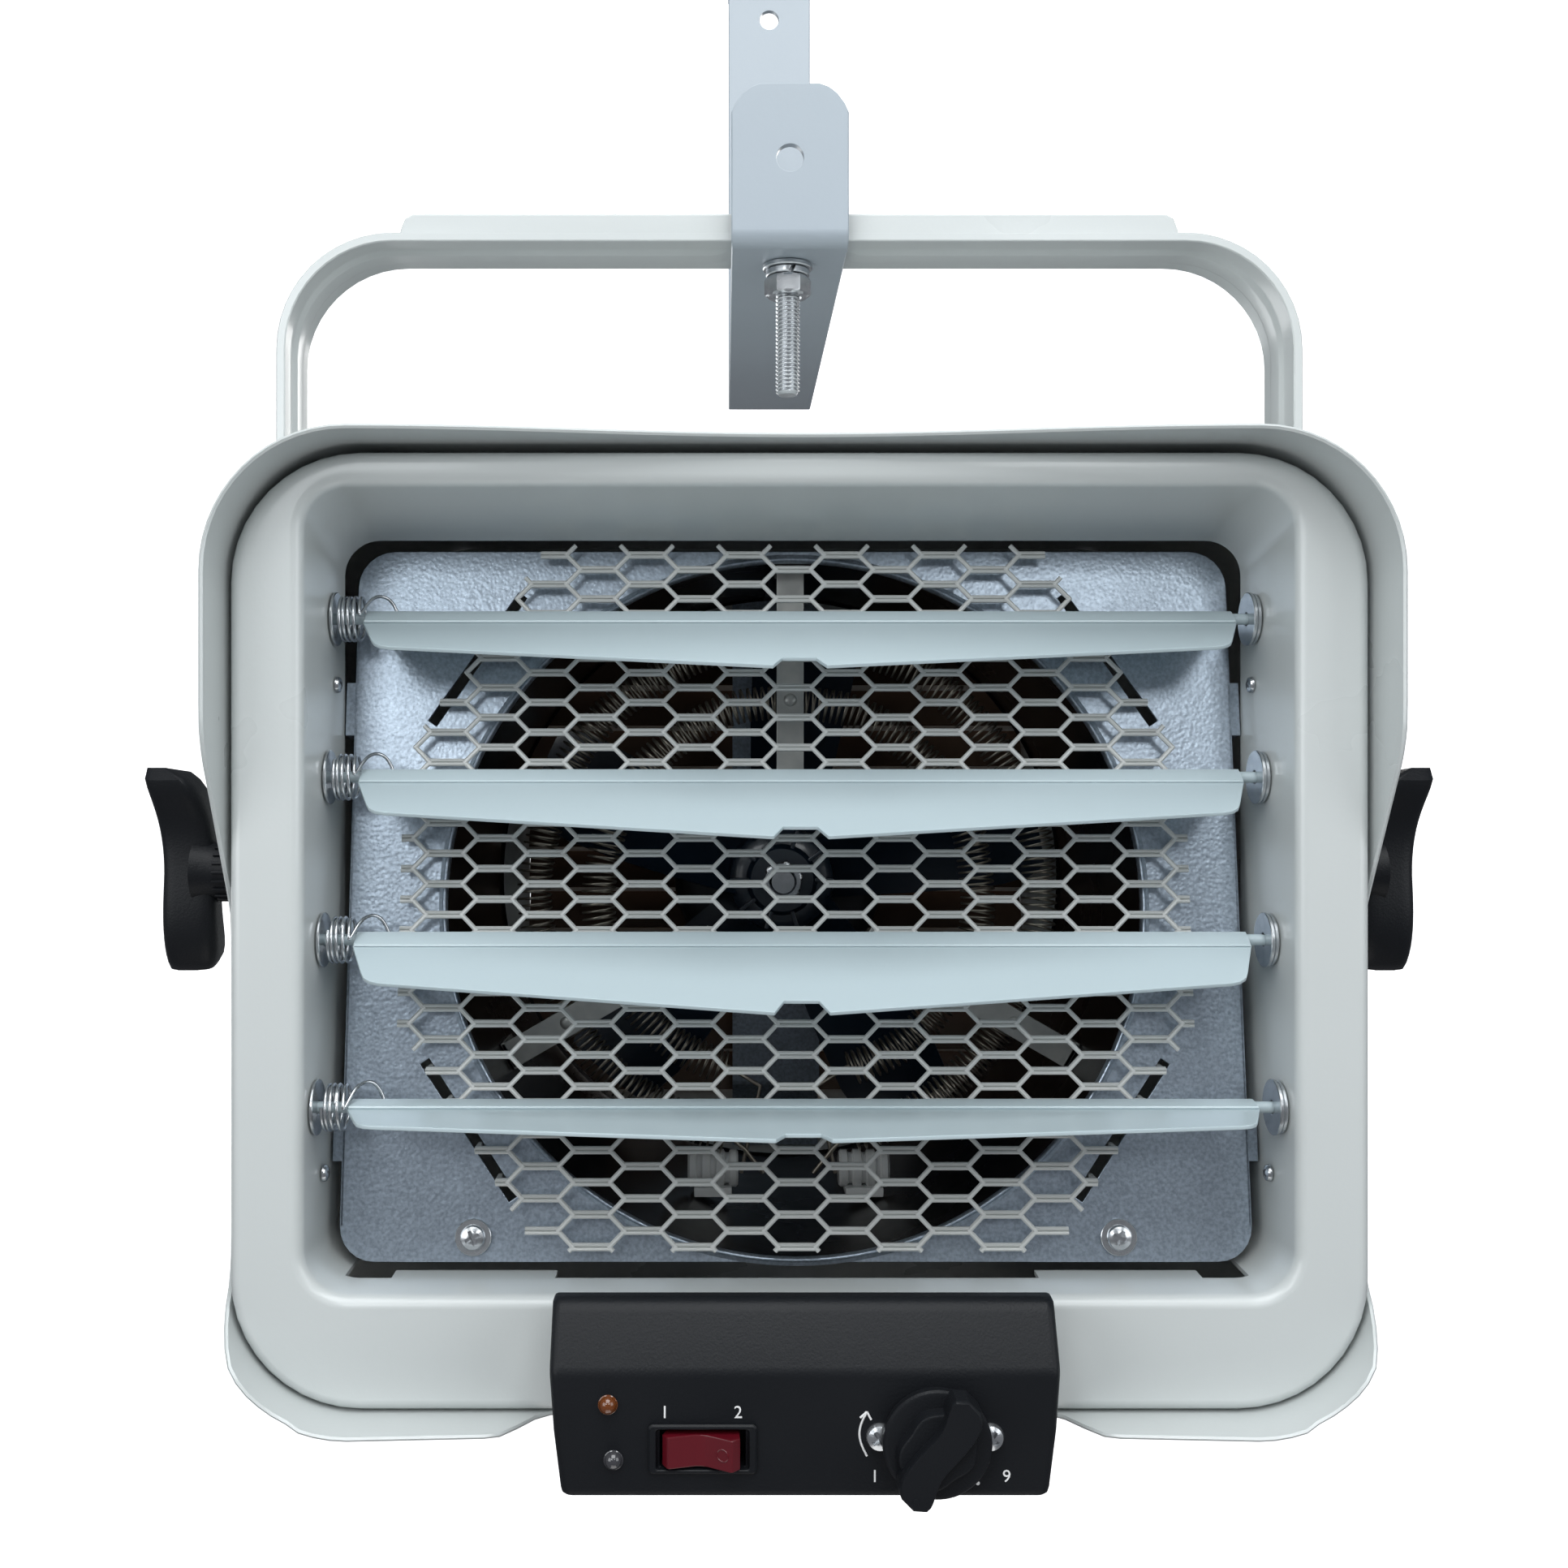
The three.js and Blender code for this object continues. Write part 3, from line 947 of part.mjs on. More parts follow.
function knobStud(name, side) {
  const [x0, x1] = sideSpan(side, insideHalf - PIVOT_NUT_HEIGHT - 4, knobInner + KNOB_HUB_LENGTH * 0.6 - CLEAR);
  return piece(name, rodX(STUD_RADIUS, x0, x1, PIVOT_Y, PIVOT_Z), ZINC());
}

// A clamping knob: a tapered hub and a bowed bar with two lobes across its end.
function tiltKnob(name, side) {
  const half = KNOB_LENGTH / 2;
  const steps = 12;
  const shares = Array.from({ length: steps + 1 }, (_, i) => 2 * i / steps - 1);
  const bow = (s) => 4 * Math.sin(Math.PI * s);
  const wide = (s) => (7 + 2.5 * s * s) * Math.sqrt(Math.max(0.02, 1 - s ** 8));
  const edge = [...shares.map((s) => [bow(s) + wide(s), s * half]),
    ...shares.slice().reverse().map((s) => [bow(s) - wide(s), s * half])];
  const hubEnd = knobInner + KNOB_HUB_LENGTH;
  const [b0, b1] = sideSpan(side, hubEnd - 1, hubEnd + KNOB_WING_THICK);
  const turn = new THREE.Matrix4().makeRotationX(KNOB_TURN);
  const bar = new THREE.ExtrudeGeometry(outline(edge), { depth: b1 - b0, bevelEnabled: false });
  bar.applyMatrix4(new THREE.Matrix4().set(0, 0, 1, b0, 1, 0, 0, 0, 0, 1, 0, 0, 0, 0, 0, 1)).applyMatrix4(turn);
  const ring = (x, radius) => Array.from({ length: 20 }, (_, i) => {
    const angle = i * Math.PI / 10;
    return [side * x, radius * Math.cos(angle), radius * Math.sin(angle)];
  });
  const hub = loft([ring(knobInner, KNOB_HUB_RADIUS), ring(hubEnd - 4, KNOB_HUB_RADIUS - 1), ring(hubEnd, KNOB_HUB_RADIUS + 1)]);
  const [s0, s1] = sideSpan(side, knobInner - 1, knobInner + KNOB_HUB_LENGTH * 0.6);
  const bore = rodX(STUD_RADIUS + CLEAR, s0, s1, 0, 0);
  return piece(name, solid(bar).add(solid(hub)).subtract(bore), BLACK_PLASTIC());
}

// ---- hanger ----
const hangerTop = shelfUnder + HANGER_RISE;
const riserBack = HANGER_LIP_Y + HANGER_REACH;
const footMiddle = riserBack + HANGER_FOOT / 2;

function hangerBracket() {
  const half = HANGER_THICK / 2;
  const path = [
    [HANGER_LIP_Y + half, shelfUnder + HANGER_LIP], [HANGER_LIP_Y + half, shelfUnder + half],
    [riserBack - half, shelfUnder + half], [riserBack - half, hangerTop - half],
    [riserBack + HANGER_FOOT, hangerTop - half],
  ];
  const side = HANGER_WIDTH / 2;
  let bracket = thickX(bentStrip(path, HANGER_THICK, HANGER_BEND), -side, side);
  const lipTop = shelfUnder + HANGER_LIP;
  for (const s of [-1, 1]) {
    const corner = outline([[s * (side + 1), lipTop - LIP_CORNER], [s * (side + 1), lipTop + 1], [s * (side - LIP_CORNER), lipTop + 1]]
      .sort((a, b) => s * (a[1] - b[1])));
    bracket = bracket.subtract(thickY(corner, HANGER_LIP_Y - 1, HANGER_LIP_Y + HANGER_THICK + 1));
  }
  const hole = HANGER_HOLE_RADIUS;
  bracket = bracket.subtract(rodY(hole, HANGER_LIP_Y - 1, HANGER_LIP_Y + HANGER_THICK + 1, 0, shelfUnder + LIP_HOLE_UP));
  bracket = bracket.subtract(rodY(hole, riserBack - HANGER_THICK - 1, riserBack + 1, 0, shelfUnder + RISER_HOLE_UP));
  bracket = bracket.subtract(rodZ(hole, shelfUnder - 1, shelfUnder + HANGER_THICK + 1, 0, PIVOT_Y));
  for (const s of [-1, 1]) {
    const y = footMiddle + s * FOOT_HOLE_SPREAD;
    bracket = bracket.subtract(rodZ(hole, hangerTop - HANGER_THICK - 1, hangerTop + 1, 0, y));
  }
  return piece('hanger_bracket', bracket, WARM_GREY_PAINT());
}

function hexAbout(across, z0, z1) {
  return thickZ(outline(hexagon(across).map(([a, b]) => [a, b + PIVOT_Y])), z0, z1);
}

function hangerBolt() {
  const head = strapTop + SEAT;
  const shape = hexAbout(BOLT_HEAD_ACROSS, head, head + BOLT_HEAD_HEIGHT)
    .add(rodZ(BOLT_RADIUS, shelfUnder - BOLT_REACH, head + 1, 0, PIVOT_Y));
  return piece('hanger_bolt', shape, ZINC());
}

const flatWasherTop = shelfUnder - SEAT;
const lockWasherTop = flatWasherTop - WASHER_THICK - SEAT;
const nutTop = lockWasherTop - LOCK_WASHER_THICK - SEAT;

function hangerFlatWasher() {
  const ring = rodZ(FLAT_WASHER_RADIUS, flatWasherTop - WASHER_THICK, flatWasherTop, 0, PIVOT_Y, 24);
  return piece('hanger_flat_washer', ring.subtract(rodZ(BOLT_RADIUS + CLEAR, shelfUnder - 9, shelfUnder, 0, PIVOT_Y)), ZINC());
}

function hangerLockWasher() {
  const bottom = lockWasherTop - LOCK_WASHER_THICK;
  const ring = rodZ(LOCK_WASHER_RADIUS, bottom, lockWasherTop, 0, PIVOT_Y, 24)
    .subtract(rodZ(BOLT_RADIUS + CLEAR, bottom - 1, lockWasherTop + 1, 0, PIVOT_Y));
  const split = box(-0.6, 0.6, PIVOT_Y - LOCK_WASHER_RADIUS - 1, PIVOT_Y, bottom - 1, lockWasherTop + 1);
  return piece('hanger_lock_washer', ring.subtract(split), ZINC());
}

function hangerNut() {
  const nut = hexAbout(NUT_ACROSS, nutTop - NUT_HEIGHT, nutTop);
  return piece('hanger_nut', nut.subtract(rodZ(BOLT_RADIUS + CLEAR, nutTop - NUT_HEIGHT - 1, nutTop + 1, 0, PIVOT_Y)), ZINC());
}

// ---- assembly ----
function at(x, y, z, ...pieces) {
  const group = new THREE.Group();
  group.position.set(x, y, z);
  pieces.forEach((item) => group.add(item));
  return group;
}

const heater = at(0, -footMiddle, -hangerTop);

heater.add(hangerBracket(), carryHandle(), hangerBolt(), hangerFlatWasher(), hangerLockWasher(), hangerNut());
for (const [side, word] of [[-1, 'left'], [1, 'right']]) {
  heater.add(pivotWasher(`pivot_washer_${word}`, side), pivotNut(`pivot_nut_${word}`, side));
  heater.add(knobStud(`knob_stud_${word}`, side));
  heater.add(at(0, PIVOT_Y, PIVOT_Z, tiltKnob(`tilt_knob_${word}`, side)));
  heater.add(terminalInsulator(`terminal_insulator_${word}`, side));
  heater.add(dialScrew(`dial_screw_${word}`, side));
}

heater.add(outerSleeve(), frontBezel(), rearGrille());
const bulkhead = at(0, PLATE_Y, 0, orificePlate(), guardMesh());
for (const [side, word] of [[-1, 'left'], [1, 'right']]) {
  bulkhead.add(faceScrew(`plate_screw_${word}`, side * PLATE_SCREW_X, -SEAT, PLATE_SCREW_Z, PLATE_SHEET + 4));
}
bulkhead.rotation.x = -LEAN;
heater.add(bulkhead);

heater.add(heaterDrum(), elementFrame());
spokeAngles.forEach((_, i) => heater.add(elementCeramic(i)));
heater.add(heatingElement('outer_element', OUTER_ELEMENT_RADIUS, OUTER_CURLS, TERMINAL_X));
heater.add(heatingElement('inner_element', INNER_ELEMENT_RADIUS, INNER_CURLS, TERMINAL_X));
heater.add(at(0, 0, OPENING_Z, fanMotor(), motorStrap(), motorShaft(), fanRotor(), fanNut()));

LOUVER_TILTS.forEach((tilt, i) => {
  const [y, z] = louverPivot(i);
  const blade = louver(i);
  blade.rotation.x = tilt;
  heater.add(at(0, y, z, blade, louverSpring(i), louverWasher(i, 1), louverWasher(i, -1)));
});

heater.add(controlPanel(), thermostatBody(), switchHousing());
const dial = thermostatDial();
dial.rotation.y = DIAL_BAR_TURN;
heater.add(at(DIAL_X, PANEL_FRONT, DIAL_Z, dial));
const rocker = heatRocker();
rocker.rotation.z = -ROCKER_THROW / 2;
heater.add(at(SWITCH_X, PANEL_FRONT + ROCKER_PIVOT_DEPTH, SWITCH_Z, rocker));
heater.add(panelLight('power_light', POWER_LIGHT, AMBER_LENS()), panelLight('alarm_light', ALARM_LIGHT, DARK_LENS()));

const group = new THREE.Group();
group.add(heater);
export default group;
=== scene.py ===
"""The looks of a ceiling mounted fan heater, built round its packed construction.

Lengths are metres. The row frame has its origin in the middle of the ceiling foot: X runs to the
right of a viewer who faces the air outlet, Y from the outlet to the back, and Z up.
"""

import json
import logging
from dataclasses import dataclass, field
from enum import Enum
from math import atan2, copysign, cos, exp, pi, radians, sin, sqrt, tan, tau
from typing import Callable, Iterable, Sequence

import bmesh
import bpy
from mathutils import Matrix, Vector


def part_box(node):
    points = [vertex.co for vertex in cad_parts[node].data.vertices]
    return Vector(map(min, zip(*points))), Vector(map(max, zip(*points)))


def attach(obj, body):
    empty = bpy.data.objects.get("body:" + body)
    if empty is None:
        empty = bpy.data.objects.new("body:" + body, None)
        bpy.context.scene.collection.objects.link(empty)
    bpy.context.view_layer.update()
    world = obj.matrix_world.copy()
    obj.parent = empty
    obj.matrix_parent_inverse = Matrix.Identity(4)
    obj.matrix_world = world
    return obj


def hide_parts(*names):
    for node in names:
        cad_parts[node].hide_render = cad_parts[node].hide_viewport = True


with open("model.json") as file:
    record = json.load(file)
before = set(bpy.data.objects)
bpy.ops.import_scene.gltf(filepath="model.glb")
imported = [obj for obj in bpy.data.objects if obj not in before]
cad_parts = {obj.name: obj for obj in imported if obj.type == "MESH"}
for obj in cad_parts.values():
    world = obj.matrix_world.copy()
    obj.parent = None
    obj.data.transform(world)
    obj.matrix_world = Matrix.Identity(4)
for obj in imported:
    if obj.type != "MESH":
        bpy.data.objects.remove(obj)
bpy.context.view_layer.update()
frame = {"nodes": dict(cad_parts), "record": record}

LOG = logging.getLogger("fan_heater")
MM = 0.001
MIX_FACTOR, MIX_A, MIX_B, MIX_RESULT = 0, 6, 7, 2
ORIGIN = Vector((0, 0, 0))
ACROSS, INTO, UP = Vector((1, 0, 0)), Vector((0, 1, 0)), Vector((0, 0, 1))
TIP = 0.02  # the radius, in millimetres, that closes a turned piece on its axis
M8_BORE = 4.25
M8_FLATS = 13.0
TILT_AXIS = (100.0, 11.0)  # the tilt axis, in millimetres behind and above the visor's middle
SPOKE_ANGLES = (90, -30, -150)
PLATE_Y = 52.7
DRUM_Z = 5.0
Ring = list[Vector]
Pair = tuple[float, float]
Triple = tuple[float, float, float]
Rows = tuple[tuple[float, ...], ...]
Piece = bpy.types.Object
Tree = bpy.types.NodeTree
Node = bpy.types.Node


def node_middle(node: str) -> Vector:
    """The middle of a node's box."""
    low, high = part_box(node)
    return (low + high) / 2


SLEEVE_LOW, SLEEVE_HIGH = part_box("outer_sleeve")
VISOR_Y = SLEEVE_LOW.y
CASE_Z = (SLEEVE_LOW.z + SLEEVE_HIGH.z) / 2
LEAN = radians(7.36)


def case_point(x: float, y: float, z: float) -> Vector:
    """A point given in millimetres from the middle of the visor's front.

    Args:
        x: millimetres to the right of the casing's middle.
        y: millimetres behind the visor's front.
        z: millimetres above the casing's middle.

    Returns:
        The same point in the row frame, in metres.
    """
    return Vector((x * MM, VISOR_Y + y * MM, CASE_Z + z * MM))


def louver_pivot(index: int) -> Vector:
    """The middle of a louver's pins, counted from 0 at the top."""
    return case_point(0, 50 - 6.6 * index, 87 - 46 * index)


# ---------------------------------------------------------------- finishes


class Grain(Enum):
    """The kinds of fine surface that the finishes have."""

    ORANGE_PEEL = "orange_peel"
    HAMMERED = "hammered"
    BRUSHED = "brushed"
    TEXTURED = "textured"
    SOOT = "soot"


@dataclass(frozen=True)
class Finish:
    """One finish: its colours, its gloss and the fine relief of its surface."""

    slot: str
    colour: Triple
    second: Triple
    roughness: float
    metallic: float = 0.0
    grain: Grain = Grain.ORANGE_PEEL
    scale: float = 900.0
    relief: float = 0.05
    coat: float = 0.0
    patch_scale: float = 14.0
    spread: float = 0.08
    stretch: Triple = (1.0, 1.0, 1.0)
    edge_lightening: float = 0.0
    shine: float = 0.5
    label: str = ""

    def material(self) -> bpy.types.Material:
        """The finish as a node material, made once.

        Returns:
            The material, with its colour patches, roughness and bump on object coordinates.
        """
        name = f"finish_{self.label or self.slot}"
        found = bpy.data.materials.get(name)
        if found:
            return found
        material = bpy.data.materials.new(name)
        material.use_nodes = True
        tree = material.node_tree
        shader = tree.nodes["Principled BSDF"]
        shader.inputs["Metallic"].default_value = self.metallic
        shader.inputs["Coat Weight"].default_value = self.coat
        shader.inputs["Specular IOR Level"].default_value = self.shine
        shader.inputs["Coat Roughness"].default_value = 0.12
        place = tree.nodes.new("ShaderNodeTexCoord")
        mapping = tree.nodes.new("ShaderNodeMapping")
        mapping.inputs["Scale"].default_value = self.stretch
        tree.links.new(place.outputs["Object"], mapping.inputs["Vector"])
        patches = self._noise(tree, mapping, self.patch_scale, 4.0)
        fine = self._noise(tree, mapping, self.scale, 2.0)
        self._colour(tree, shader, patches, fine)
        spread = tree.nodes.new("ShaderNodeMapRange")
        spread.inputs["To Min"].default_value = max(TIP, self.roughness - self.spread)
        spread.inputs["To Max"].default_value = min(1.0, self.roughness + self.spread)
        tree.links.new(patches.outputs["Fac"], spread.inputs["Value"])
        tree.links.new(spread.outputs["Result"], shader.inputs["Roughness"])
        self._bump(tree, shader, mapping, fine)
        return material

    def _noise(self, tree: Tree, mapping: Node, scale: float,
               detail: float) -> Node:
        """A noise texture on the mapped object coordinates.

        Args:
            tree: the material's node tree.
            mapping: the node that maps the coordinates.
            scale: how fine it is.
            detail: how many finer layers it adds.

        Returns:
            The texture node.
        """
        noise = tree.nodes.new("ShaderNodeTexNoise")
        noise.inputs["Scale"].default_value = scale
        noise.inputs["Detail"].default_value = detail
        tree.links.new(mapping.outputs["Vector"], noise.inputs["Vector"])
        return noise

    def _colour(self, tree: Tree, shader: Node, patches: Node,
                fine: Node) -> None:
        """Mixes the two colours by the patches or the grain, and lightens sharp edges.

        Args:
            tree: the material's node tree.
            shader: the surface shader.
            patches: the noise of the large patches.
            fine: the noise of the grain.
        """
        mix = tree.nodes.new("ShaderNodeMix")
        mix.data_type = "RGBA"
        mix.inputs[MIX_A].default_value = (*self.colour, 1.0)
        mix.inputs[MIX_B].default_value = (*self.second, 1.0)
        ramp = tree.nodes.new("ShaderNodeMapRange")
        ramp.interpolation_type = "SMOOTHSTEP"
        ramp.inputs["From Min"].default_value = 0.25
        ramp.inputs["From Max"].default_value = 0.75
        source = fine if self.grain in (Grain.HAMMERED, Grain.BRUSHED) else patches
        tree.links.new(source.outputs["Fac"], ramp.inputs["Value"])
        tree.links.new(ramp.outputs["Result"], mix.inputs[MIX_FACTOR])
        # Sharp convex edges, found by pointiness, are mixed towards a pale grey.
        if self.edge_lightening:
            pointed = tree.nodes.new("ShaderNodeNewGeometry")
            sharp_edge_ramp = tree.nodes.new("ShaderNodeMapRange")
            sharp_edge_ramp.inputs["From Min"].default_value = 0.53
            sharp_edge_ramp.inputs["From Max"].default_value = 0.62
            sharp_edge_ramp.inputs["To Max"].default_value = self.edge_lightening
            lift = tree.nodes.new("ShaderNodeMix")
            lift.data_type = "RGBA"
            lift.inputs[MIX_B].default_value = (0.75, 0.76, 0.75, 1.0)
            tree.links.new(pointed.outputs["Pointiness"], sharp_edge_ramp.inputs["Value"])
            tree.links.new(sharp_edge_ramp.outputs["Result"], lift.inputs[MIX_FACTOR])
            tree.links.new(mix.outputs[MIX_RESULT], lift.inputs[MIX_A])
            tree.links.new(lift.outputs[MIX_RESULT], shader.inputs["Base Color"])
        else:
            tree.links.new(mix.outputs[MIX_RESULT], shader.inputs["Base Color"])

    def _bump(self, tree: Tree, shader: Node, mapping: Node,
              fine: Node) -> None:
        """The fine relief: cells for hammered metal, noise for paint and plastic.

        Args:
            tree: the material's node tree.
            shader: the surface shader.
            mapping: the node that maps the coordinates.
            fine: the noise of the grain.
        """
        height = fine.outputs["Fac"]
        if self.grain is Grain.HAMMERED:
            cells = tree.nodes.new("ShaderNodeTexVoronoi")
            cells.feature = "SMOOTH_F1"
            cells.inputs["Scale"].default_value = self.scale
            tree.links.new(mapping.outputs["Vector"], cells.inputs["Vector"])
            height = cells.outputs["Distance"]
        bump = tree.nodes.new("ShaderNodeBump")
        bump.inputs["Strength"].default_value = self.relief
        bump.inputs["Distance"].default_value = 0.0004
        tree.links.new(height, bump.inputs["Height"])
        tree.links.new(bump.outputs["Normal"], shader.inputs["Normal"])


CASING_PAINT = Finish("casing_paint", (0.565, 0.595, 0.59), (0.55, 0.58, 0.575), 0.30, coat=0.25,
                      scale=700.0, relief=0.06)
BRACKET_PAINT = Finish("casing_paint", (0.37, 0.42, 0.465), (0.36, 0.41, 0.452), 0.36,
                       grain=Grain.ORANGE_PEEL, scale=520.0, relief=0.07, coat=0.2,
                       label="bracket_paint")
LOUVER_PAINT = Finish("louver_paint", (0.44, 0.525, 0.555), (0.432, 0.517, 0.547), 0.34, coat=0.2,
                      scale=800.0, relief=0.06)
# The guard's sharp convex edges are lightened towards a pale grey.
GUARD_PAINT = Finish("guard_paint", (0.40, 0.42, 0.405), (0.34, 0.355, 0.345), 0.42, 0.15,
                     scale=500.0, relief=0.15, edge_lightening=0.5)
GALVANISED = Finish("galvanised_sheet", (0.42, 0.49, 0.57), (0.29, 0.34, 0.40), 0.32, 0.72,
                    Grain.HAMMERED, scale=950.0, relief=0.14, spread=0.06, patch_scale=40.0)
ZINC = Finish("zinc_plate", (0.62, 0.64, 0.66), (0.52, 0.54, 0.56), 0.24, 0.95, Grain.BRUSHED,
              scale=260.0, relief=0.08, spread=0.1)
BLACK_PLASTIC = Finish("black_plastic", (0.0045, 0.0055, 0.0075), (0.007, 0.008, 0.010), 0.44,
                       grain=Grain.TEXTURED, scale=1500.0, relief=0.22, shine=0.22)
# The drum's sheet is painted near black: painted shade for the dark inside of the drum.
DRUM_PAINTED_SHADE = Finish("galvanised_sheet", (0.085, 0.08, 0.078), (0.05, 0.048, 0.048), 0.26, 0.95,
                    Grain.BRUSHED, scale=160.0, relief=0.08, spread=0.1, label="drum_painted_shade")
BRIGHT_SHEET = Finish("galvanised_sheet", (0.46, 0.47, 0.45), (0.38, 0.39, 0.38), 0.4, 0.6,
                      Grain.BRUSHED, scale=200.0, relief=0.06, spread=0.08, label="bright_sheet")
FAN_BLUE = Finish("black_plastic", (0.006, 0.013, 0.024), (0.010, 0.020, 0.034), 0.3, 0.1,
                  scale=300.0, relief=0.05, coat=0.5, label="fan_blue")
MOTOR_ENAMEL = Finish("motor_enamel", (0.018, 0.02, 0.024), (0.03, 0.032, 0.036), 0.38, 0.3,
                      scale=300.0, relief=0.1)
ELEMENT_WIRE = Finish("element_wire", (0.11, 0.10, 0.085), (0.34, 0.31, 0.26), 0.3, 0.85,
                      Grain.SOOT, scale=320.0, relief=0.1, spread=0.12)
CERAMIC = Finish("ceramic", (0.72, 0.73, 0.72), (0.62, 0.63, 0.62), 0.35, coat=0.3, scale=200.0,
                 relief=0.08)
RED_PLASTIC = Finish("red_plastic", (0.105, 0.004, 0.010), (0.09, 0.003, 0.008), 0.3, coat=0.12,
                     scale=900.0, relief=0.04)
AMBER_LENS = Finish("amber_lens", (0.16, 0.045, 0.006), (0.12, 0.03, 0.004), 0.12, coat=0.6,
                    scale=600.0, relief=0.02)
# Dark brown painted on the slats behind the rear grille: painted shade, with a painted brown
# reflection.
GRILLE_PAINTED_SHADE = Finish("casing_paint", (0.13, 0.08, 0.05), (0.09, 0.055, 0.035), 0.5, scale=400.0,
                      relief=0.05, label="grille_painted_shade")
DARK_LENS = Finish("dark_lens", (0.03, 0.03, 0.035), (0.05, 0.05, 0.055), 0.08, coat=0.8,
                   scale=600.0, relief=0.02)
PRINT_WHITE = Finish("black_plastic", (0.8, 0.8, 0.8), (0.75, 0.75, 0.75), 0.6, scale=900.0,
                     relief=0.02, label="print_white")


# ---------------------------------------------------------------- modelling


def deselect() -> None:
    """Leaves edit mode and clears the selection."""
    if bpy.context.object and bpy.context.object.mode != "OBJECT":
        bpy.ops.object.mode_set(mode="OBJECT")
    bpy.ops.object.select_all(action="DESELECT")


def pick(*pieces: Piece) -> None:
    """Selects these pieces alone, the first of them active.

    Args:
        *pieces: the pieces to select.
    """
    deselect()
    for piece in pieces:
        piece.select_set(True)
    bpy.context.view_layer.objects.active = pieces[0]


def settle(piece: Piece) -> Piece:
    """Puts the piece's place into its mesh, so that its object sits at the origin.

    Args:
        piece: the piece to settle.

    Returns:
        The same piece.
    """
    pick(piece)
    bpy.ops.object.transform_apply(location=True, rotation=True, scale=True)
    return piece


def modify(piece: Piece, kind: str, **settings: object) -> Piece:
    """Adds a modifier and applies it.

    Args:
        piece: the mesh to change.
        kind: the modifier's type.
        **settings: its settings by name.

    Returns:
        The piece.
    """
    pick(piece)
    modifier = piece.modifiers.new(kind.lower(), kind)
    for name, value in settings.items():
        setattr(modifier, name, value)
    bpy.ops.object.modifier_apply(modifier=modifier.name)
    return piece


def bevel(piece: Piece, width: float, segments: int = 2, angle: float = 40.0) -> Piece:
    """Rounds the edges that are sharper than an angle, given in degrees."""
    return modify(piece, "BEVEL", width=width, segments=segments, limit_method="ANGLE",
                  angle_limit=radians(angle), harden_normals=False)


def smooth(piece: Piece, angle: float = 35.0) -> Piece:
    """Shades the piece smooth, with edges past the angle kept crisp.

    Args:
        piece: the piece to shade.
        angle: the angle in degrees.

    Returns:
        The same piece.
    """
    pick(piece)
    bpy.ops.object.shade_smooth_by_angle(angle=radians(angle))
    return piece


def cut(piece: Piece, *cutters: Piece) -> Piece:
    """Cuts each of the cutters out of the piece and deletes it.

    Args:
        piece: the piece to cut.
        *cutters: closed pieces to take away.

    Returns:
        The cut piece.
    """
    for cutter in cutters:
        modify(piece, "BOOLEAN", object=cutter, operation="DIFFERENCE", solver="EXACT")
        bpy.data.objects.remove(cutter)
    return piece


def copied(template: Piece, place: Matrix) -> Piece:
    """A copy of a piece with its mesh moved by a matrix.

    Args:
        template: the piece to copy.
        place: the matrix.

    Returns:
        The copy.
    """
    twin = template.copy()
    twin.data = template.data.copy()
    twin.data.transform(place)
    bpy.context.scene.collection.objects.link(twin)
    return twin


def join(name: str, pieces: Sequence[Piece]) -> Piece:
    """Joins meshes into one named piece.

    Args:
        name: the joined piece's name.
        pieces: the meshes.

    Returns:
        The joined piece.
    """
    pick(*pieces)
    if len(pieces) > 1:
        bpy.ops.object.join()
    joined = bpy.context.object
    joined.name = name
    joined.data.name = name
    return joined


def sweep(name: str, rings: Sequence[Ring], closed: bool = False, caps: bool = False) -> Piece:
    """Extrudes a loop of edges from ring to ring.

    Args:
        name: the piece's name.
        rings: rings of equal counts of points, in the row frame.
        closed: joins the last ring to the first, as round a tube's wall.
        caps: closes the first and the last ring with a face.

    Returns:
        The mesh, with its faces pointing out.
    """
    deselect()
    bpy.ops.mesh.primitive_circle_add(vertices=len(rings[0]), radius=0.01, fill_type="NOTHING")
    piece = bpy.context.object
    piece.name = name
    piece.data.name = name
    bpy.ops.object.mode_set(mode="EDIT")
    mesh = bmesh.from_edit_mesh(piece.data)
    place = mesh.verts.layers.int.new("place")
    level = mesh.verts.layers.int.new("level")
    for index, vertex in enumerate(mesh.verts):
        vertex[place] = index
        vertex.co = rings[0][index]
    stages = list(rings[1:]) + ([rings[0]] if closed else [])
    for number, ring in enumerate(stages, 1):
        bpy.ops.mesh.extrude_edges_move()
        mesh = bmesh.from_edit_mesh(piece.data)
        place = mesh.verts.layers.int["place"]
        level = mesh.verts.layers.int["level"]
        for vertex in mesh.verts:
            if vertex.select:
                vertex[level] = number
                vertex.co = ring[vertex[place]]
        bmesh.update_edit_mesh(piece.data)
    if closed:
        bpy.ops.mesh.select_all(action="SELECT")
        bpy.ops.mesh.remove_doubles(threshold=1e-7)
    elif caps:
        bpy.ops.mesh.edge_face_add()
        bpy.ops.mesh.select_all(action="DESELECT")
        mesh = bmesh.from_edit_mesh(piece.data)
        level = mesh.verts.layers.int["level"]
        for vertex in mesh.verts:
            vertex.select = vertex[level] == 0
        mesh.select_flush(True)
        bpy.ops.mesh.edge_face_add()
    bpy.ops.mesh.select_all(action="SELECT")
    bpy.ops.mesh.normals_make_consistent(inside=False)
    bpy.ops.object.mode_set(mode="OBJECT")
    for layer in ("place", "level"):
        piece.data.attributes.remove(piece.data.attributes[layer])
    return piece


def between(start: Pair, end: Pair, share: float) -> Pair:
    """The point that lies a share of the way from one point to another."""
    return start[0] + (end[0] - start[0]) * share, start[1] + (end[1] - start[1]) * share


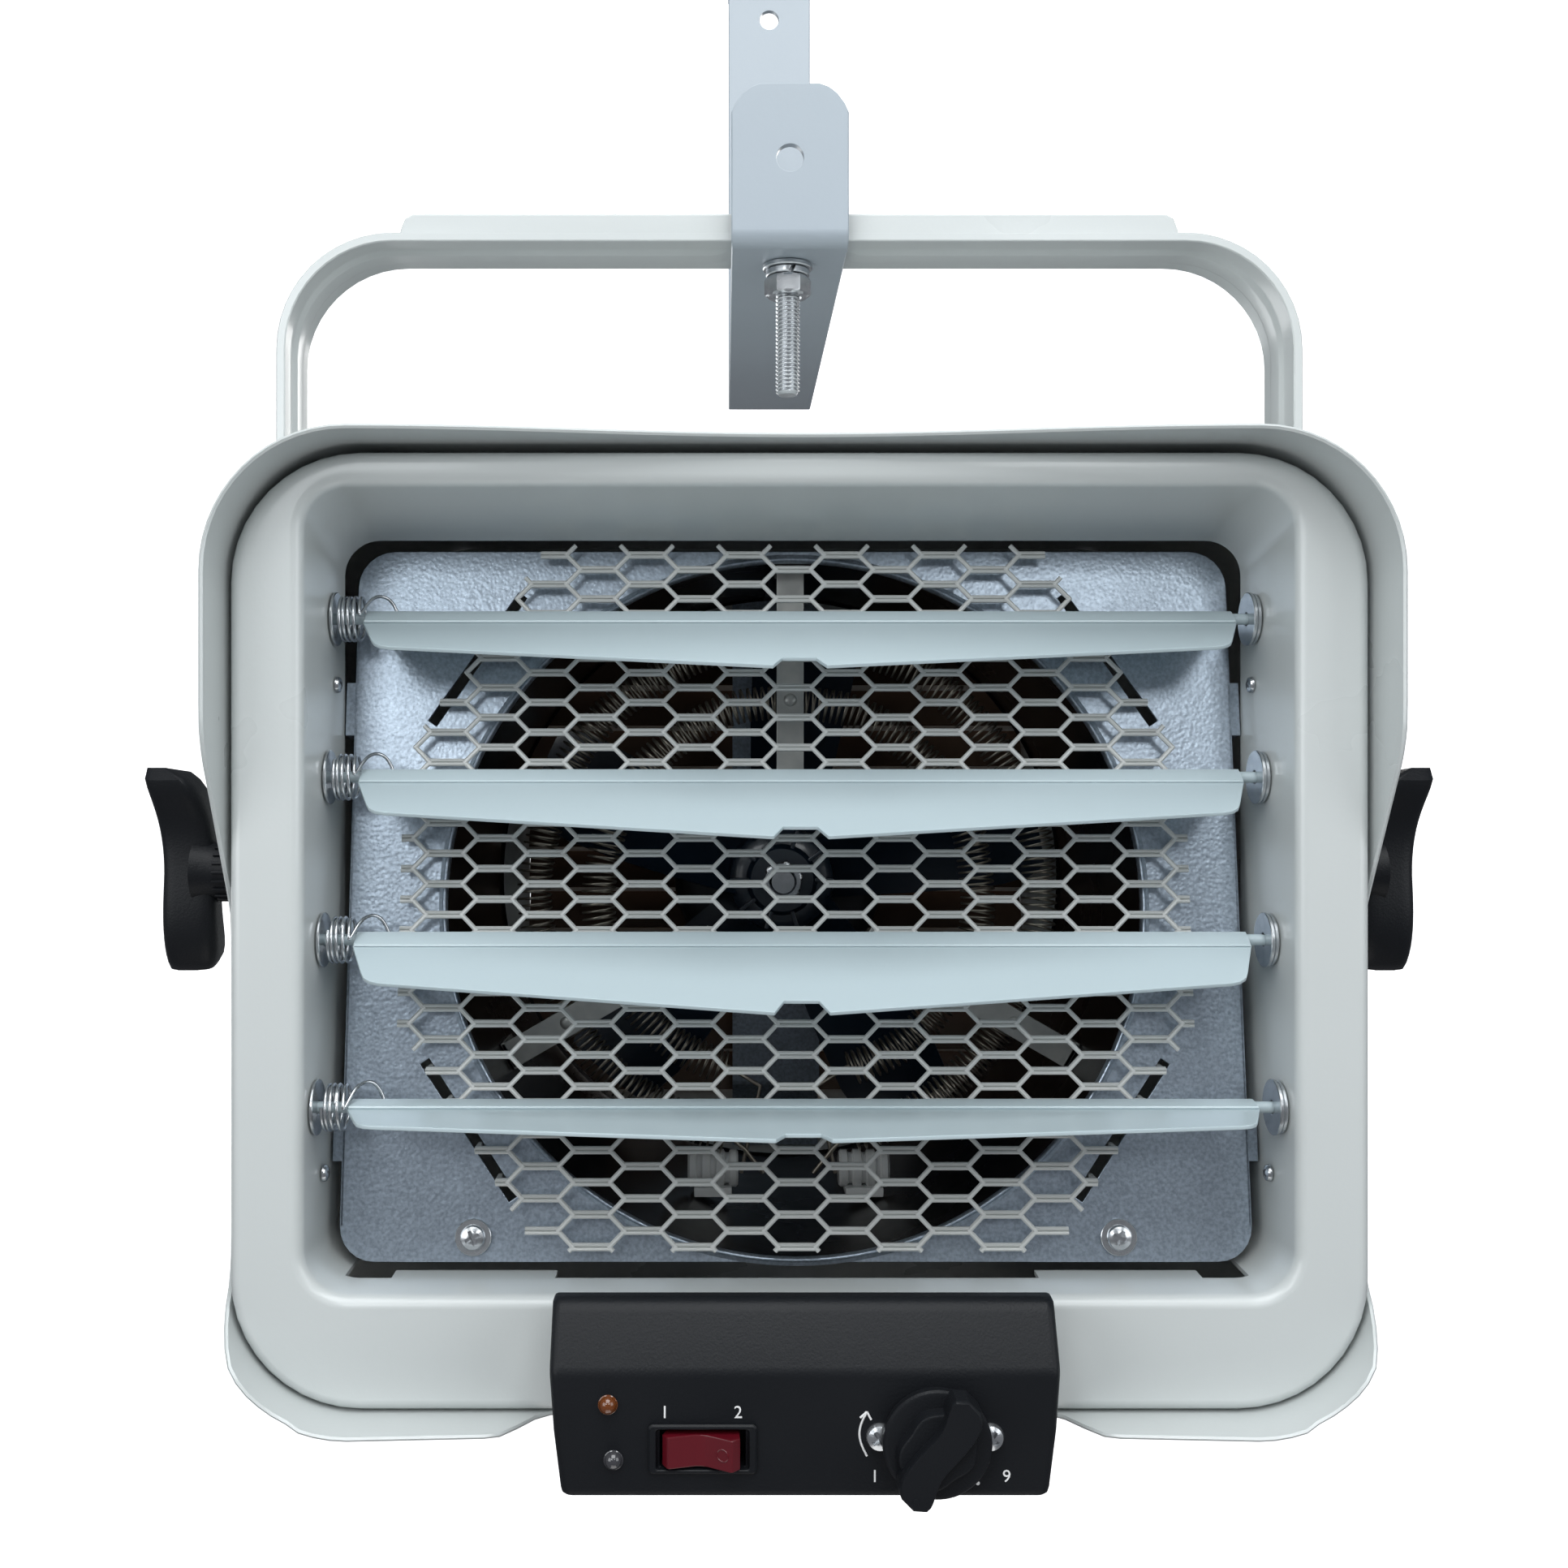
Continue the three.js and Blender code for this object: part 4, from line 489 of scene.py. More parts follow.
def rounded(left: float, right: float, low: float, high: float, corner: float, arc: int = 9,
            straight: int = 6) -> list[Pair]:
    """The points of a rectangle with round corners, with points along its sides as well.

    Args:
        left: its lowest x.
        right: its highest x.
        low: its lowest z.
        high: its highest z.
        corner: the corners' radius.
        arc: the steps round each corner.
        straight: the steps along each side.

    Returns:
        Points as (x, z) pairs, anticlockwise.
    """
    centres = [(right - corner, high - corner), (left + corner, high - corner),
               (left + corner, low + corner), (right - corner, low + corner)]
    points: list[Pair] = []
    for quarter, (cx, cz) in enumerate(centres):
        for step in range(arc + 1):
            angle = (quarter + step / arc) * pi / 2
            points.append((cx + corner * cos(angle), cz + corner * sin(angle)))
        nx, nz = centres[(quarter + 1) % 4]
        turn = (quarter + 1) * pi / 2
        end = (nx + corner * cos(turn), nz + corner * sin(turn))
        start = points[-1]
        for step in range(1, straight):
            share = step / straight
            points.append(between(start, end, share))
    return points


def spun(profile: Sequence[Pair], middle: Vector, axis: Vector, count: int) -> list[Ring]:
    """The rings of a profile turned about an axis.

    Args:
        profile: (radius, distance along the axis) pairs, in millimetres.
        middle: the point on the axis that the distances start from.
        axis: the axis.
        count: the points round each ring.

    Returns:
        One ring for each pair.
    """
    basis = axis.normalized().to_track_quat("Z", "Y").to_matrix()
    angles = [tau * i / count for i in range(count)]
    return [[middle + basis @ Vector((radius * cos(a), radius * sin(a), along)) * MM
             for a in angles] for radius, along in profile]


def turned(name: str, profile: Sequence[Pair], middle: Vector, axis: Vector,
           count: int = 32) -> Piece:
    """A piece turned about an axis, closed at both ends.

    Args:
        name: the piece's name.
        profile: (radius, distance along the axis) pairs, in millimetres.
        middle: the point on the axis that the distances start from.
        axis: the axis.
        count: the points round each ring.

    Returns:
        The turned mesh.
    """
    return sweep(name, spun(profile, middle, axis, count), caps=True)


def washer(name: str, outer: float, inner: float, thick: float, middle: Vector, axis: Vector,
           edge: float = 0.15, count: int = 32) -> Piece:
    """A flat ring with broken edges, its near face at the middle point. Sizes in millimetres.

    Args:
        name: the piece's name.
        outer: its outer radius.
        inner: its inner radius.
        thick: its thickness.
        middle: the middle of its near face, in the row frame.
        axis: the direction from its near face to its far face.
        edge: the width of its broken edges.
        count: the points round each ring.

    Returns:
        The washer.
    """
    profile = [(outer, edge), (outer, thick - edge), (outer - edge, thick), (inner + edge, thick),
               (inner, thick - edge), (inner, edge), (inner + edge, 0), (outer - edge, 0)]
    return sweep(name, spun(profile, middle, axis, count), closed=True)


def cut_sheet(name: str, outline: Sequence[Pair], lay: Callable[[float, float, float], Vector],
              thick: float, edge: float = 0.25) -> Piece:
    """A piece cut from sheet: a flat outline with a thickness and broken edges.

    Args:
        name: the piece's name.
        outline: the outline's points.
        lay: turns a point of the outline and a height into a point of the row frame.
        thick: the sheet's thickness, in the units that lay takes.
        edge: the width of the broken edges in millimetres.

    Returns:
        The sheet.
    """
    piece = sweep(name, [[lay(a, b, h) for a, b in outline] for h in (-thick / 2, thick / 2)],
                  caps=True)
    return bevel(piece, edge * MM, 2, 30) if edge else piece


def wire(name: str, points: Sequence[Vector], radius: float, sides: int = 2, closed: bool = False,
         smooth_line: bool = False) -> Piece:
    """A round wire along points, as a mesh.

    Args:
        name: the piece's name.
        points: the middle line, in the row frame.
        radius: the wire's radius in metres.
        sides: the bevel resolution, 2 for a section with 8 sides.
        closed: joins its ends.
        smooth_line: bends the line smoothly through the points.

    Returns:
        The wire, with closed ends.
    """
    deselect()
    curve = bpy.data.curves.new(name, "CURVE")
    curve.dimensions = "3D"
    curve.bevel_depth = radius
    curve.bevel_resolution = sides
    curve.use_fill_caps = True
    curve.resolution_u = 4
    spline = curve.splines.new("NURBS" if smooth_line else "POLY")
    spline.points.add(len(points) - 1)
    for target, point in zip(spline.points, points):
        target.co = (*point, 1.0)
    spline.use_cyclic_u = closed
    if smooth_line:
        spline.order_u = 4
        spline.use_endpoint_u = True
    piece = bpy.data.objects.new(name, curve)
    bpy.context.scene.collection.objects.link(piece)
    pick(piece)
    bpy.ops.object.convert(target="MESH")
    return bpy.context.object


def block(name: str, low: Vector, high: Vector, edge: float = 0.0, segments: int = 2) -> Piece:
    """A block between two corners, with rounded edges of a width in millimetres.

    Args:
        name: the piece's name.
        low: its lowest corner, in the row frame.
        high: its highest corner.
        edge: the width of the rounding, or nothing for sharp edges.
        segments: the steps of the rounding.

    Returns:
        The block.
    """
    deselect()
    bpy.ops.mesh.primitive_cube_add(size=1, location=(low + high) / 2)
    piece = bpy.context.object
    piece.name = name
    piece.data.name = name
    piece.scale = high - low
    settle(piece)
    return bevel(piece, edge * MM, segments) if edge else piece


def turn_about(piece: Piece, centre: Vector, axis: str, angle: float) -> Piece:
    """Turns a piece's mesh about a point by an angle in radians.

    Args:
        piece: the piece to turn.
        centre: the point.
        axis: the letter of the axis.
        angle: the angle.

    Returns:
        The same piece.
    """
    turn = Matrix.Rotation(angle, 4, axis)
    piece.data.transform(Matrix.Translation(centre) @ turn @ Matrix.Translation(-centre))
    return piece


def dress(piece: Piece, finish: Finish, body: str, *nodes: str, angle: float = 35.0) -> Piece:
    """Finishes a piece: its material, the body it rides on and the nodes it stands for.

    Args:
        piece: the piece.
        finish: its finish.
        body: the body that carries it.
        *nodes: the nodes of the construction that it replaces.
        angle: edges sharper than this stay crisp, in degrees.

    Returns:
        The piece.
    """
    smooth(piece, angle)
    modify(piece, "WEIGHTED_NORMAL", keep_sharp=True)
    piece.data.materials.clear()
    piece.data.materials.append(finish.material())
    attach(piece, body)
    if nodes:
        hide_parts(*nodes)
    LOG.info("%s: %d faces, on %s", piece.name, len(piece.data.polygons), body)
    return piece


def refinish(finish: Finish, *nodes: str) -> None:
    """Gives nodes of the construction that keep their shape a finish.

    Args:
        finish: the finish.
        *nodes: the names of the nodes.
    """
    for node in nodes:
        target = frame["nodes"][node]
        target.data.materials.clear()
        target.data.materials.append(finish.material())


# ---------------------------------------------------------------- studio


@dataclass(frozen=True)
class Lamp:
    """One square soft light: its place, its side in metres, its power in watts and its colour."""

    name: str
    place: Triple
    size: float
    power: float
    colour: Triple


@dataclass
class Studio:
    """The camera, the backdrop and the lights of the main render."""

    camera: Triple = (-0.021, -0.758, -0.382)
    lens: float = 37.08
    shift: Pair = (0.0393, -0.0021)
    lamps: tuple[Lamp, ...] = (
        Lamp("key", (-0.95, -1.15, -0.15), 0.8, 5.6, (0.96, 0.985, 1.0)),
        Lamp("fill", (1.0, -1.0, -0.1), 0.8, 4.6, (0.95, 0.98, 1.0)),
        Lamp("top", (0.0, -0.95, 0.7), 1.1, 17.0, (0.96, 0.985, 1.0)),
        Lamp("lamp_left", (-0.42, -1.45, 0.02), 0.28, 1.7, (0.94, 0.98, 1.0)),
        Lamp("lamp_right", (0.34, -1.45, 0.06), 0.22, 1.2, (0.96, 0.99, 1.0)),
        Lamp("back", (0.7, 1.25, 0.35), 0.8, 9.0, (1.0, 0.99, 0.97)),
        Lamp("back_low", (-0.8, 1.0, -0.5), 0.8, 5.0, (0.97, 0.99, 1.0)),
        Lamp("under", (0.0, -0.6, -1.25), 0.6, 1.4, (1.0, 0.98, 0.95)))

    def build(self) -> None:
        """Sets the camera, the world and the lights."""
        self._camera()
        self._world()
        for lamp in self.lamps:
            self._area(lamp)
        self._wall("backdrop", Vector((0, 1.5, -0.4)), (9.0, 9.0), (1.0, 1.0, 1.0), 1.0)
        self._wall("floor", Vector((0, -1.0, -1.52)), (9.0, 7.0), (0.86, 0.87, 0.88), 0.3,
                            lying=True)
        bpy.context.scene.view_settings.view_transform = "Standard"

    def _camera(self) -> None:
        """A camera in front of the object, level, a little left of its middle."""
        data = bpy.data.cameras.new("camera")
        data.lens = self.lens
        data.sensor_width = 36.0
        data.shift_x, data.shift_y = self.shift
        data.clip_start = 0.01
        camera = bpy.data.objects.new("camera", data)
        camera.location = Vector(self.camera)
        camera.rotation_euler = (pi / 2, 0, 0)
        bpy.context.scene.collection.objects.link(camera)
        bpy.context.scene.camera = camera

    def _world(self) -> None:
        """An even white room."""
        world = bpy.data.worlds.new("world")
        world.use_nodes = True
        background = world.node_tree.nodes["Background"]
        background.inputs["Color"].default_value = (0.9, 0.93, 1.0, 1.0)
        background.inputs["Strength"].default_value = 0.2
        bpy.context.scene.world = world

    def _area(self, lamp: Lamp) -> None:
        """Sets up a square soft light that faces the casing.

        Args:
            lamp: the light.
        """
        data = bpy.data.lights.new(lamp.name, "AREA")
        data.size = lamp.size
        data.energy = lamp.power
        data.color = lamp.colour
        light = bpy.data.objects.new(lamp.name, data)
        light.location = Vector(lamp.place)
        light.visible_camera = False
        aim = case_point(0, 60, 30) - Vector(lamp.place)
        light.rotation_euler = aim.to_track_quat("-Z", "Y").to_euler()
        bpy.context.scene.collection.objects.link(light)

    def _wall(self, name: str, place: Vector, size: Pair, colour: Triple,
              glow: float, lying: bool = False) -> Piece:
        """A plain wall or floor, which glows a little so that it stays even.

        Args:
            name: the wall's name.
            place: its middle.
            size: its width and height in metres.
            colour: its colour.
            glow: the strength of its own light.
            lying: lays it flat, as a floor.

        Returns:
            The wall.
        """
        deselect()
        lean = 0 if lying else pi / 2
        bpy.ops.mesh.primitive_plane_add(size=1.0, location=place, rotation=(lean, 0, 0))
        wall = bpy.context.object
        wall.scale = (size[0], size[1], 1.0)
        settle(wall)
        wall.name = name
        material = bpy.data.materials.new(name)
        material.use_nodes = True
        shader = material.node_tree.nodes["Principled BSDF"]
        shader.inputs["Base Color"].default_value = (*colour, 1.0)
        shader.inputs["Roughness"].default_value = 0.9
        shader.inputs["Emission Color"].default_value = (*colour, 1.0)
        shader.inputs["Emission Strength"].default_value = glow
        wall.data.materials.append(material)
        wall.visible_diffuse = wall.visible_glossy = False
        return wall


# ---------------------------------------------------------------- casing


@dataclass
class Casing:
    """The sleeve with its visor edge, the bezel with its recess, and the rear grille."""

    half: float = 157.5
    tall: float = 133.0
    depth: float = 230.0
    corner: float = 38.0
    sheet: float = 1.2
    top_dip: float = 11.0
    rim: tuple[float, ...] = (-135.0, 135.0, -100.0, 120.0)
    bezel_half: float = 155.0
    bezel_top: float = 129.5
    bezel_low: float = -131.2
    bezel_corner: float = 35.5
    roll: float = 3.4
    notch: Pair = (67.5, 82.0)
    notch_setback: float = 19.8
    foot_setback: float = 4.0
    recess_screws: Rows = (
        (134.0, 51.6, 68.0), (134.2, 37.0, -71.0), (-134.0, 51.6, 68.0), (-134.2, 37.0, -71.0))
    recess_rings: Rows = (
        (27.0, 0.22, 1.3, 0.1), (40.0, 0.65, 3.9, 0.35), (62.0, 1.4, 8.4, 0.7))

    def build(self) -> None:
        """Makes the casing's pieces."""
        self._sleeve()
        self._bezel()
        for x, y, z in self.recess_screws:
            outward = Vector((copysign(1.0, x), 0, 0))
            screw = pan_screw("recess_screw", case_point(x, y, z) - outward * 0.3 * MM, outward,
                              2.4, 1.6, 0.0, 30.0)
            dress(screw, ZINC, "heater")
        refinish(CASING_PAINT, "rear_grille")
        smooth(frame["nodes"]["rear_grille"])
        # Slats behind the rear grille, painted dark brown as painted shade and a painted brown
        # reflection.
        slats = []
        for row in range(-5, 6):
            z = 5.0 + 16.0 * row
            section = ((219.2, z - 6.8), (219.9, z - 7.2), (225.7, z + 6.4), (225.0, z + 6.9))
            slats.append(sweep("slat", [[case_point(x, b, a) for b, a in section]
                                        for x in (-97.5, 97.5)], caps=True))
        dress(join("grille_slats", slats), GRILLE_PAINTED_SHADE, "heater")

    def _setback(self, x: float, z: float) -> float:
        """How far behind the visor's foremost corners its edge lies, at a point round the casing.

        Args:
            x: millimetres right of the middle.
            z: millimetres above the middle.

        Returns:
            The setback in millimetres.
        """
        straight = self.half - self.corner
        if z > self.tall - 3:
            share = min(1.0, abs(x) / straight)
            return self.top_dip * (0.5 + 0.5 * cos(pi * share))
        if z < -self.tall + 3:
            (start, end), deep, low = self.notch, self.notch_setback, self.foot_setback
            if abs(x) < start:
                return deep
            if abs(x) < end:
                share = (abs(x) - start) / (end - start)
                return deep + (low - deep) * (3 * share * share - 2 * share ** 3)
            return low - 2.0 * min(1.0, (abs(x) - end) / (straight - end))
        return self._side(z)

    def _side(self, z: float) -> float:
        """The setback of the visor's side at a height: most at the waist.

        Args:
            z: millimetres above the middle.

        Returns:
            The setback in millimetres.
        """
        line = ((60.0, 0.0), (53.0, 0.25), (46.0, 2.6), (11.0, 23.2), (4.0, 27.2), (-2.0, 28.0),
                (-92.0, 28.0), (-98.0, 26.8), (-103.0, 20.5), (-112.0, 9.2), (-116.0, 5.0),
                (-121.0, 4.0))
        if z >= line[0][0]:
            return 0.0
        for (z1, y1), (z0, y0) in zip(line, line[1:]):
            if z >= z0:
                return y0 + (y1 - y0) * (z - z0) / (z1 - z0)
        return line[-1][1]

    def _sleeve(self) -> None:
        """The outer sleeve, a band of sheet with a rolled visor edge and a hem at its back."""
        half, tall, corner = self.half, self.tall, self.corner
        loop = rounded(-half, half, -tall, tall, corner, 14, 60)
        inner = rounded(self.sheet - half, half - self.sheet, self.sheet - tall, tall - self.sheet,
                        corner - self.sheet, 14, 60)
        front = [self._setback(x, z) for x, z in loop]

        def ring(shape: list[Pair], blend: float, add: float = 0.0) -> Ring:
            """A ring between the visor's edge (0) and the back (1).

            Args:
                shape: the points round the sleeve.
                blend: where it lies between them.
                add: how far it lies behind that, in millimetres.

            Returns:
                The ring.
            """
            back = self.depth
            return [case_point(x, y + (back - y) * blend + add, z) for (x, z),
                    y in zip(shape, front)]

        middle = [((a + c) / 2, (b + d) / 2) for (a, b), (c, d) in zip(loop, inner)]
        outside = [ring(middle, 0.0), ring(loop, 0.0, 0.5), ring(loop, 0.02), ring(loop, 0.2),
                   ring(loop, 0.6), ring(loop, 1.0, -0.4), ring(middle, 1.0)]
        inside = [ring(inner, 1.0, -0.4), ring(inner, 0.6), ring(inner, 0.2), ring(inner, 0.02),
                  ring(inner, 0.0, 0.5)]
        sleeve = sweep("sleeve", outside + inside, closed=True)
        for side in (-1, 1):
            hole = turned("hole", [(4.3, -6), (4.3, 6)], case_point(side * half, *TILT_AXIS),
                          ACROSS, 24)
            sleeve = cut(sleeve, hole)
        dress(sleeve, CASING_PAINT, "heater", "outer_sleeve", angle=38)

    def _bezel(self) -> None:
        """The front bezel: a rolled outer edge, a flat face and the recess behind its rim."""
        half, top, low = self.bezel_half, self.bezel_top, self.bezel_low
        left, right, floor, roof = self.rim
        roll, arc, straight = self.roll, 10, 24

        def outer(inset: float, y: float) -> Ring:
            """A ring parallel with the bezel's outer edge.

            Args:
                inset: how far it lies inside the edge.
                y: its distance behind the visor's front.

            Returns:
                The ring.
            """
            return [case_point(x, y, z) for x, z in rounded(inset - half, half - inset, low + inset,
                                                            top - inset, self.bezel_corner - inset,
                                                            arc, straight)]

        def inner(grow: float, y: float, drop: float = 0.0, lift: float = 0.0) -> Ring:
            """A ring parallel with the recess's rim.

            Args:
                grow: how far it lies outside the rim.
                y: its distance behind the visor's front.
                drop: how far its top is lowered.
                lift: how far its floor is raised.

            Returns:
                The ring.
            """
            return [case_point(x, y, z) for x, z in
                    rounded(left - grow, right + grow, floor - grow + lift, roof + grow - drop,
                            max(8.0, 12.0 + grow), arc, straight)]

        rings = [outer(1.2, 32.6), outer(0.0, 33.4), outer(0.0, 21.4)]
        for step in range(1, 6):
            angle = step * pi / 10
            rings.append(outer(roll * (1 - cos(angle)), 21.0 - roll * sin(angle)))
        for step in range(5):
            angle = step * pi / 10
            rings.append(inner(roll * (1 - sin(angle)), 21.0 - roll * cos(angle)))
        rings.append(inner(0.0, 21.0))
        tail = self.recess_rings
        for y, draw, drop, lift in tail:
            rings.append(inner(-draw, y, drop - draw, lift - draw))
        for y, draw, drop, lift in reversed(tail):
            rings.append(inner(1.2 - draw, y, drop - draw, lift - draw))
        rings.append(inner(1.2, 21.4))
        rings += [inner(4.6, 18.9), outer(4.6, 18.9), outer(1.2, 22.0)]
        bezel = sweep("bezel", rings, closed=True)
        dress(self._trimmed(bezel), CASING_PAINT, "heater", "front_bezel", angle=38)

    def _trimmed(self, bezel: Piece) -> Piece:
        """Cuts the bezel's back along the leaning plate, and its floor between the two tabs.

        Args:
            bezel: the bezel before its cuts.

        Returns:
            The cut bezel.
        """
        def behind(name: str, reach: float, start: float) -> Piece:
            """A leaning block that takes away what lies behind the plate.

            Args:
                name: the block's name.
                reach: half its width in millimetres.
                start: how far behind the plate it starts, in millimetres.

            Returns:
                The block.
            """
            place = block(name, Vector((-reach * MM, start * MM, -0.2)),
                          Vector((reach * MM, 0.08, 0.2)))
            turn_about(place, ORIGIN, "X", -LEAN)
            place.data.transform(Matrix.Translation(case_point(0, PLATE_Y, 0)))
            return place
        cutters = [behind("behind", 200, 12), behind("over_drum", 114, 1)]
        for low_x, high_x in ((-68.0, 68.0), (114.0, 127.0), (-127.0, -114.0)):
            cutters.append(block("floor_cut", case_point(low_x, 34, -104),
                                 case_point(high_x, 90, -97)))
        for index in range(4):
            cutters.append(turned("pin_hole", [(2.0, -145), (2.0, 145)], louver_pivot(index),
                                  ACROSS, 16))
        return cut(bezel, *cutters)


# ---------------------------------------------------------------- plate and guard


def plate_point(x: float, y: float, z: float) -> Vector:
    """A point of the leaning plate: x right, y behind its face and z up it, in millimetres."""
    return case_point(x, PLATE_Y + y * cos(LEAN) + z * sin(LEAN), z * cos(LEAN) - y * sin(LEAN))


PLATE_AXIS = (plate_point(0, 1, 0) - plate_point(0, 0, 0)).normalized()


@dataclass(frozen=True)
class Strand:
    """One straight strand of the guard, with its ends in the plate's x and z."""

    start: Pair
    end: Pair
    bond: bool
    folded: tuple[bool, bool] = (False, False)


@dataclass
class Bulkhead:
    """The galvanised plate with its opening, slots and screws, and the expanded metal guard."""

    half: float = 130.35
    top: float = 110.0
    low: float = -98.0
    upper_corner: float = 11.0
    lower_corner: float = 10.0
    opening: float = 101.5
    slots: Rows = tuple(
        (sx * 94.0, 8.0 + sz * 69.0, -sx * sz * atan2(1, 1.48)) for sx in (-1, 1) for sz in (-1, 1))
    pitch_x: float = 14.5
    pitch_z: float = 8.9
    bond_half: float = 5.1
    guard_y: float = -5.7
    guard_z: float = 8.0
    lattice_z: float = 5.0
    guard_edge: tuple[Pair, ...] = ((114.0, 39.0), (73.0, 102.0))

    def build(self) -> None:
        """Makes the plate, its screws and the guard."""
        self._plate()
        self._guard()
        for side, node in ((-1, "plate_screw_left"), (1, "plate_screw_right")):
            screw = pan_screw(f"{node}_look", plate_point(side * 92, -0.1, -91), PLATE_AXIS, 3.6,
                              2.9, 5.2, 24.0 * side)
            dress(screw, ZINC, "heater", node)

    def _plate(self) -> None:
        """The plate: flat sheet with folded sides, a rolled opening and four slots."""
        half, top, low = self.half, self.top, self.low
        up, down = self.upper_corner, self.lower_corner
        edge = []
        for x, z, radius, start in ((half - down, low + down, down, -90),
                                    (half - up, top - up, up, 0), (up - half, top - up, up, 90),
                                    (down - half, low + down, down, 180)):
            edge += [(x + radius * cos(radians(start + 15 * i)),
                      z + radius * sin(radians(start + 15 * i))) for i in range(7)]
        sheet = sweep("plate_sheet", [[plate_point(x, y, z) for x, z in edge] for y in (0.0, 1.0)],
                      caps=True)
        opening = turned("opening", [(self.opening + 0.7, -9), (self.opening + 0.7, 9)],
                         plate_point(0, 0, DRUM_Z), PLATE_AXIS, 128)
        cutters = [opening]
        for x, z, turn in self.slots:
            slot = block("slot", Vector((-0.0015, -0.01, -0.0235)), Vector((0.0015, 0.01, 0.0235)))
            turn_about(slot, ORIGIN, "Y", turn)
            turn_about(slot, ORIGIN, "X", -LEAN)
            slot.data.transform(Matrix.Translation(plate_point(x, 0.5, z)))
            cutters.append(slot)
        sheet = bevel(cut(sheet, *cutters), 0.3 * MM, 2, 50)
        folds = []
        for side in (-1, 1):
            outline = [(0.0, low + down), (10.0, low + down + 1), (10.0, top - up - 1),
                       (0.0, top - up)]
            fold = sweep("fold", [[plate_point(side * (half - inset), y, z) for y, z in outline]
                                  for inset in (0.0, 1.0)], caps=True)
            folds.append(bevel(fold, 0.25 * MM, 2, 40))
        for side in (-1, 1):
            for z in (-62, 62):
                pad = sweep("pad",
                            [[plate_point(side * x, y, z + s * 8) for y,
                              s in ((1, -1), (10, -1), (10, 1), (1, 1))]
                             for x in (half - 1, half + 2.9)], caps=True)
                folds.append(bevel(pad, 0.3 * MM, 2, 40))
        plate = join("plate", [sheet] + folds + [self._rolled_edge()])
        dress(plate, GALVANISED, "heater", "orifice_plate", angle=30)

    def _rolled_edge(self) -> Piece:
        """The opening's rolled edge, bright where it turns.

        Returns:
            The rolled edge.
        """
        count = 144
        profile = []
        for step in range(9):
            angle = pi * step / 8
            profile.append((self.opening + 0.75 + 0.75 * cos(angle) + (1.0 if step == 0 else 0.0),
                            -0.1 - 1.35 * sin(angle)))
        profile += [(self.opening, 1.0), (self.opening + 1.2, 1.0), (self.opening + 2.5, 0.4)]
        rings = [[plate_point(r * cos(tau * i / count), y,
                              DRUM_Z + r * sin(tau * i / count)) for i in range(count)]
                 for r, y in profile]
        return sweep("rolled_edge", rings, closed=True)

    def _inside(self, x: float, z: float) -> float:
        """How far a point lies inside the guard's outline, in millimetres.

        Args:
            x: millimetres right of the middle of the plate.
            z: millimetres up the plate.

        Returns:
            The distance, which is negative outside.
        """
        (side, side_z), (top_x, top) = self.guard_edge
        along = Vector((top_x - side, top - side_z)).normalized()
        normal = Vector((along.y, -along.x))
        slanted = (Vector((side, side_z)) - Vector((abs(x), abs(z - self.guard_z)))).dot(normal)
        return min(side - abs(x), top - abs(z - self.guard_z), slanted)

    def _strands(self) -> Iterable[Strand]:
        """The guard's strands, cut where they cross its outline.

        Yields:
            Each bond and each slanted strand between two bonds.
        """
        for column in range(-8, 9):
            for row in range(-13, 14):
                x = column * self.pitch_x
                z = self.lattice_z + (row + (column % 2) / 2) * self.pitch_z
                ends = [((x - self.bond_half, z), (x + self.bond_half, z), True)]
                for turn in (-1, 1):
                    ends.append(((x + self.bond_half, z), (x + self.pitch_x - self.bond_half,
                                                           z + turn * self.pitch_z / 2), False))
                for start, end, bond in ends:
                    strand = self._clipped(start, end, bond)
                    if strand:
                        yield strand

    def _clipped(self, start: Pair, end: Pair, bond: bool) -> Strand | None:
        """The part of a strand that lies inside the outline, or nothing when hardly any does.

        Args:
            start: its first end on the plate.
            end: its other end.
            bond: whether it is a level bond.

        Returns:
            The strand that is left, or nothing.
        """
        steps = 24
        line = [between(start, end, i / steps) for i in range(steps + 1)]
        inside = [self._inside(*point) >= 0 for point in line]
        if sum(inside) < 6:
            return None
        first, last = inside.index(True), steps - inside[::-1].index(True)
        points = (line[first], line[last])
        folded = tuple(cut_here and self._at_slot(*point)
                       for point, cut_here in zip(points, (first > 0, last < steps)))
        return Strand(points[0], points[1], bond, folded)

    def _at_slot(self, x: float, z: float) -> bool:
        """Whether a cut end lies at one of the slots, where the guard is folded through the plate.

        Args:
            x: millimetres right of the middle of the plate.
            z: millimetres up the plate.

        Returns:
            Whether it does.
        """
        for slot_x, slot_z, turn in self.slots:
            along = (x - slot_x) * sin(turn) + (z - slot_z) * cos(turn)
            across = (x - slot_x) * cos(turn) - (z - slot_z) * sin(turn)
            if abs(along) < 22 and abs(across) < 4:
                return True
        return False

    def _template(self, bond: bool) -> Piece:
        """A strand 1 mm long along X with a ridged front, wider where it is a bond.

        Args:
            bond: whether it is a level bond.

        Returns:
            The strand to copy.
        """
        if bond:
            section = ((-1.15, 0.45), (-1.05, -0.45), (-0.62, -0.68), (-0.16, -0.5), (0.0, -0.2),
                       (0.16, -0.42), (0.62, -0.55), (1.05, -0.2), (1.15, 0.55), (0.0, 0.65))
        else:
            section = ((-0.62, 0.5), (-0.68, -0.35), (-0.3, -0.66), (0.3, -0.6), (0.68, -0.15),
                       (0.6, 0.62))
        return sweep("strand", [[Vector((x, b, a)) * MM for a, b in section] for x in (0.0, 1.0)],
                     caps=True)

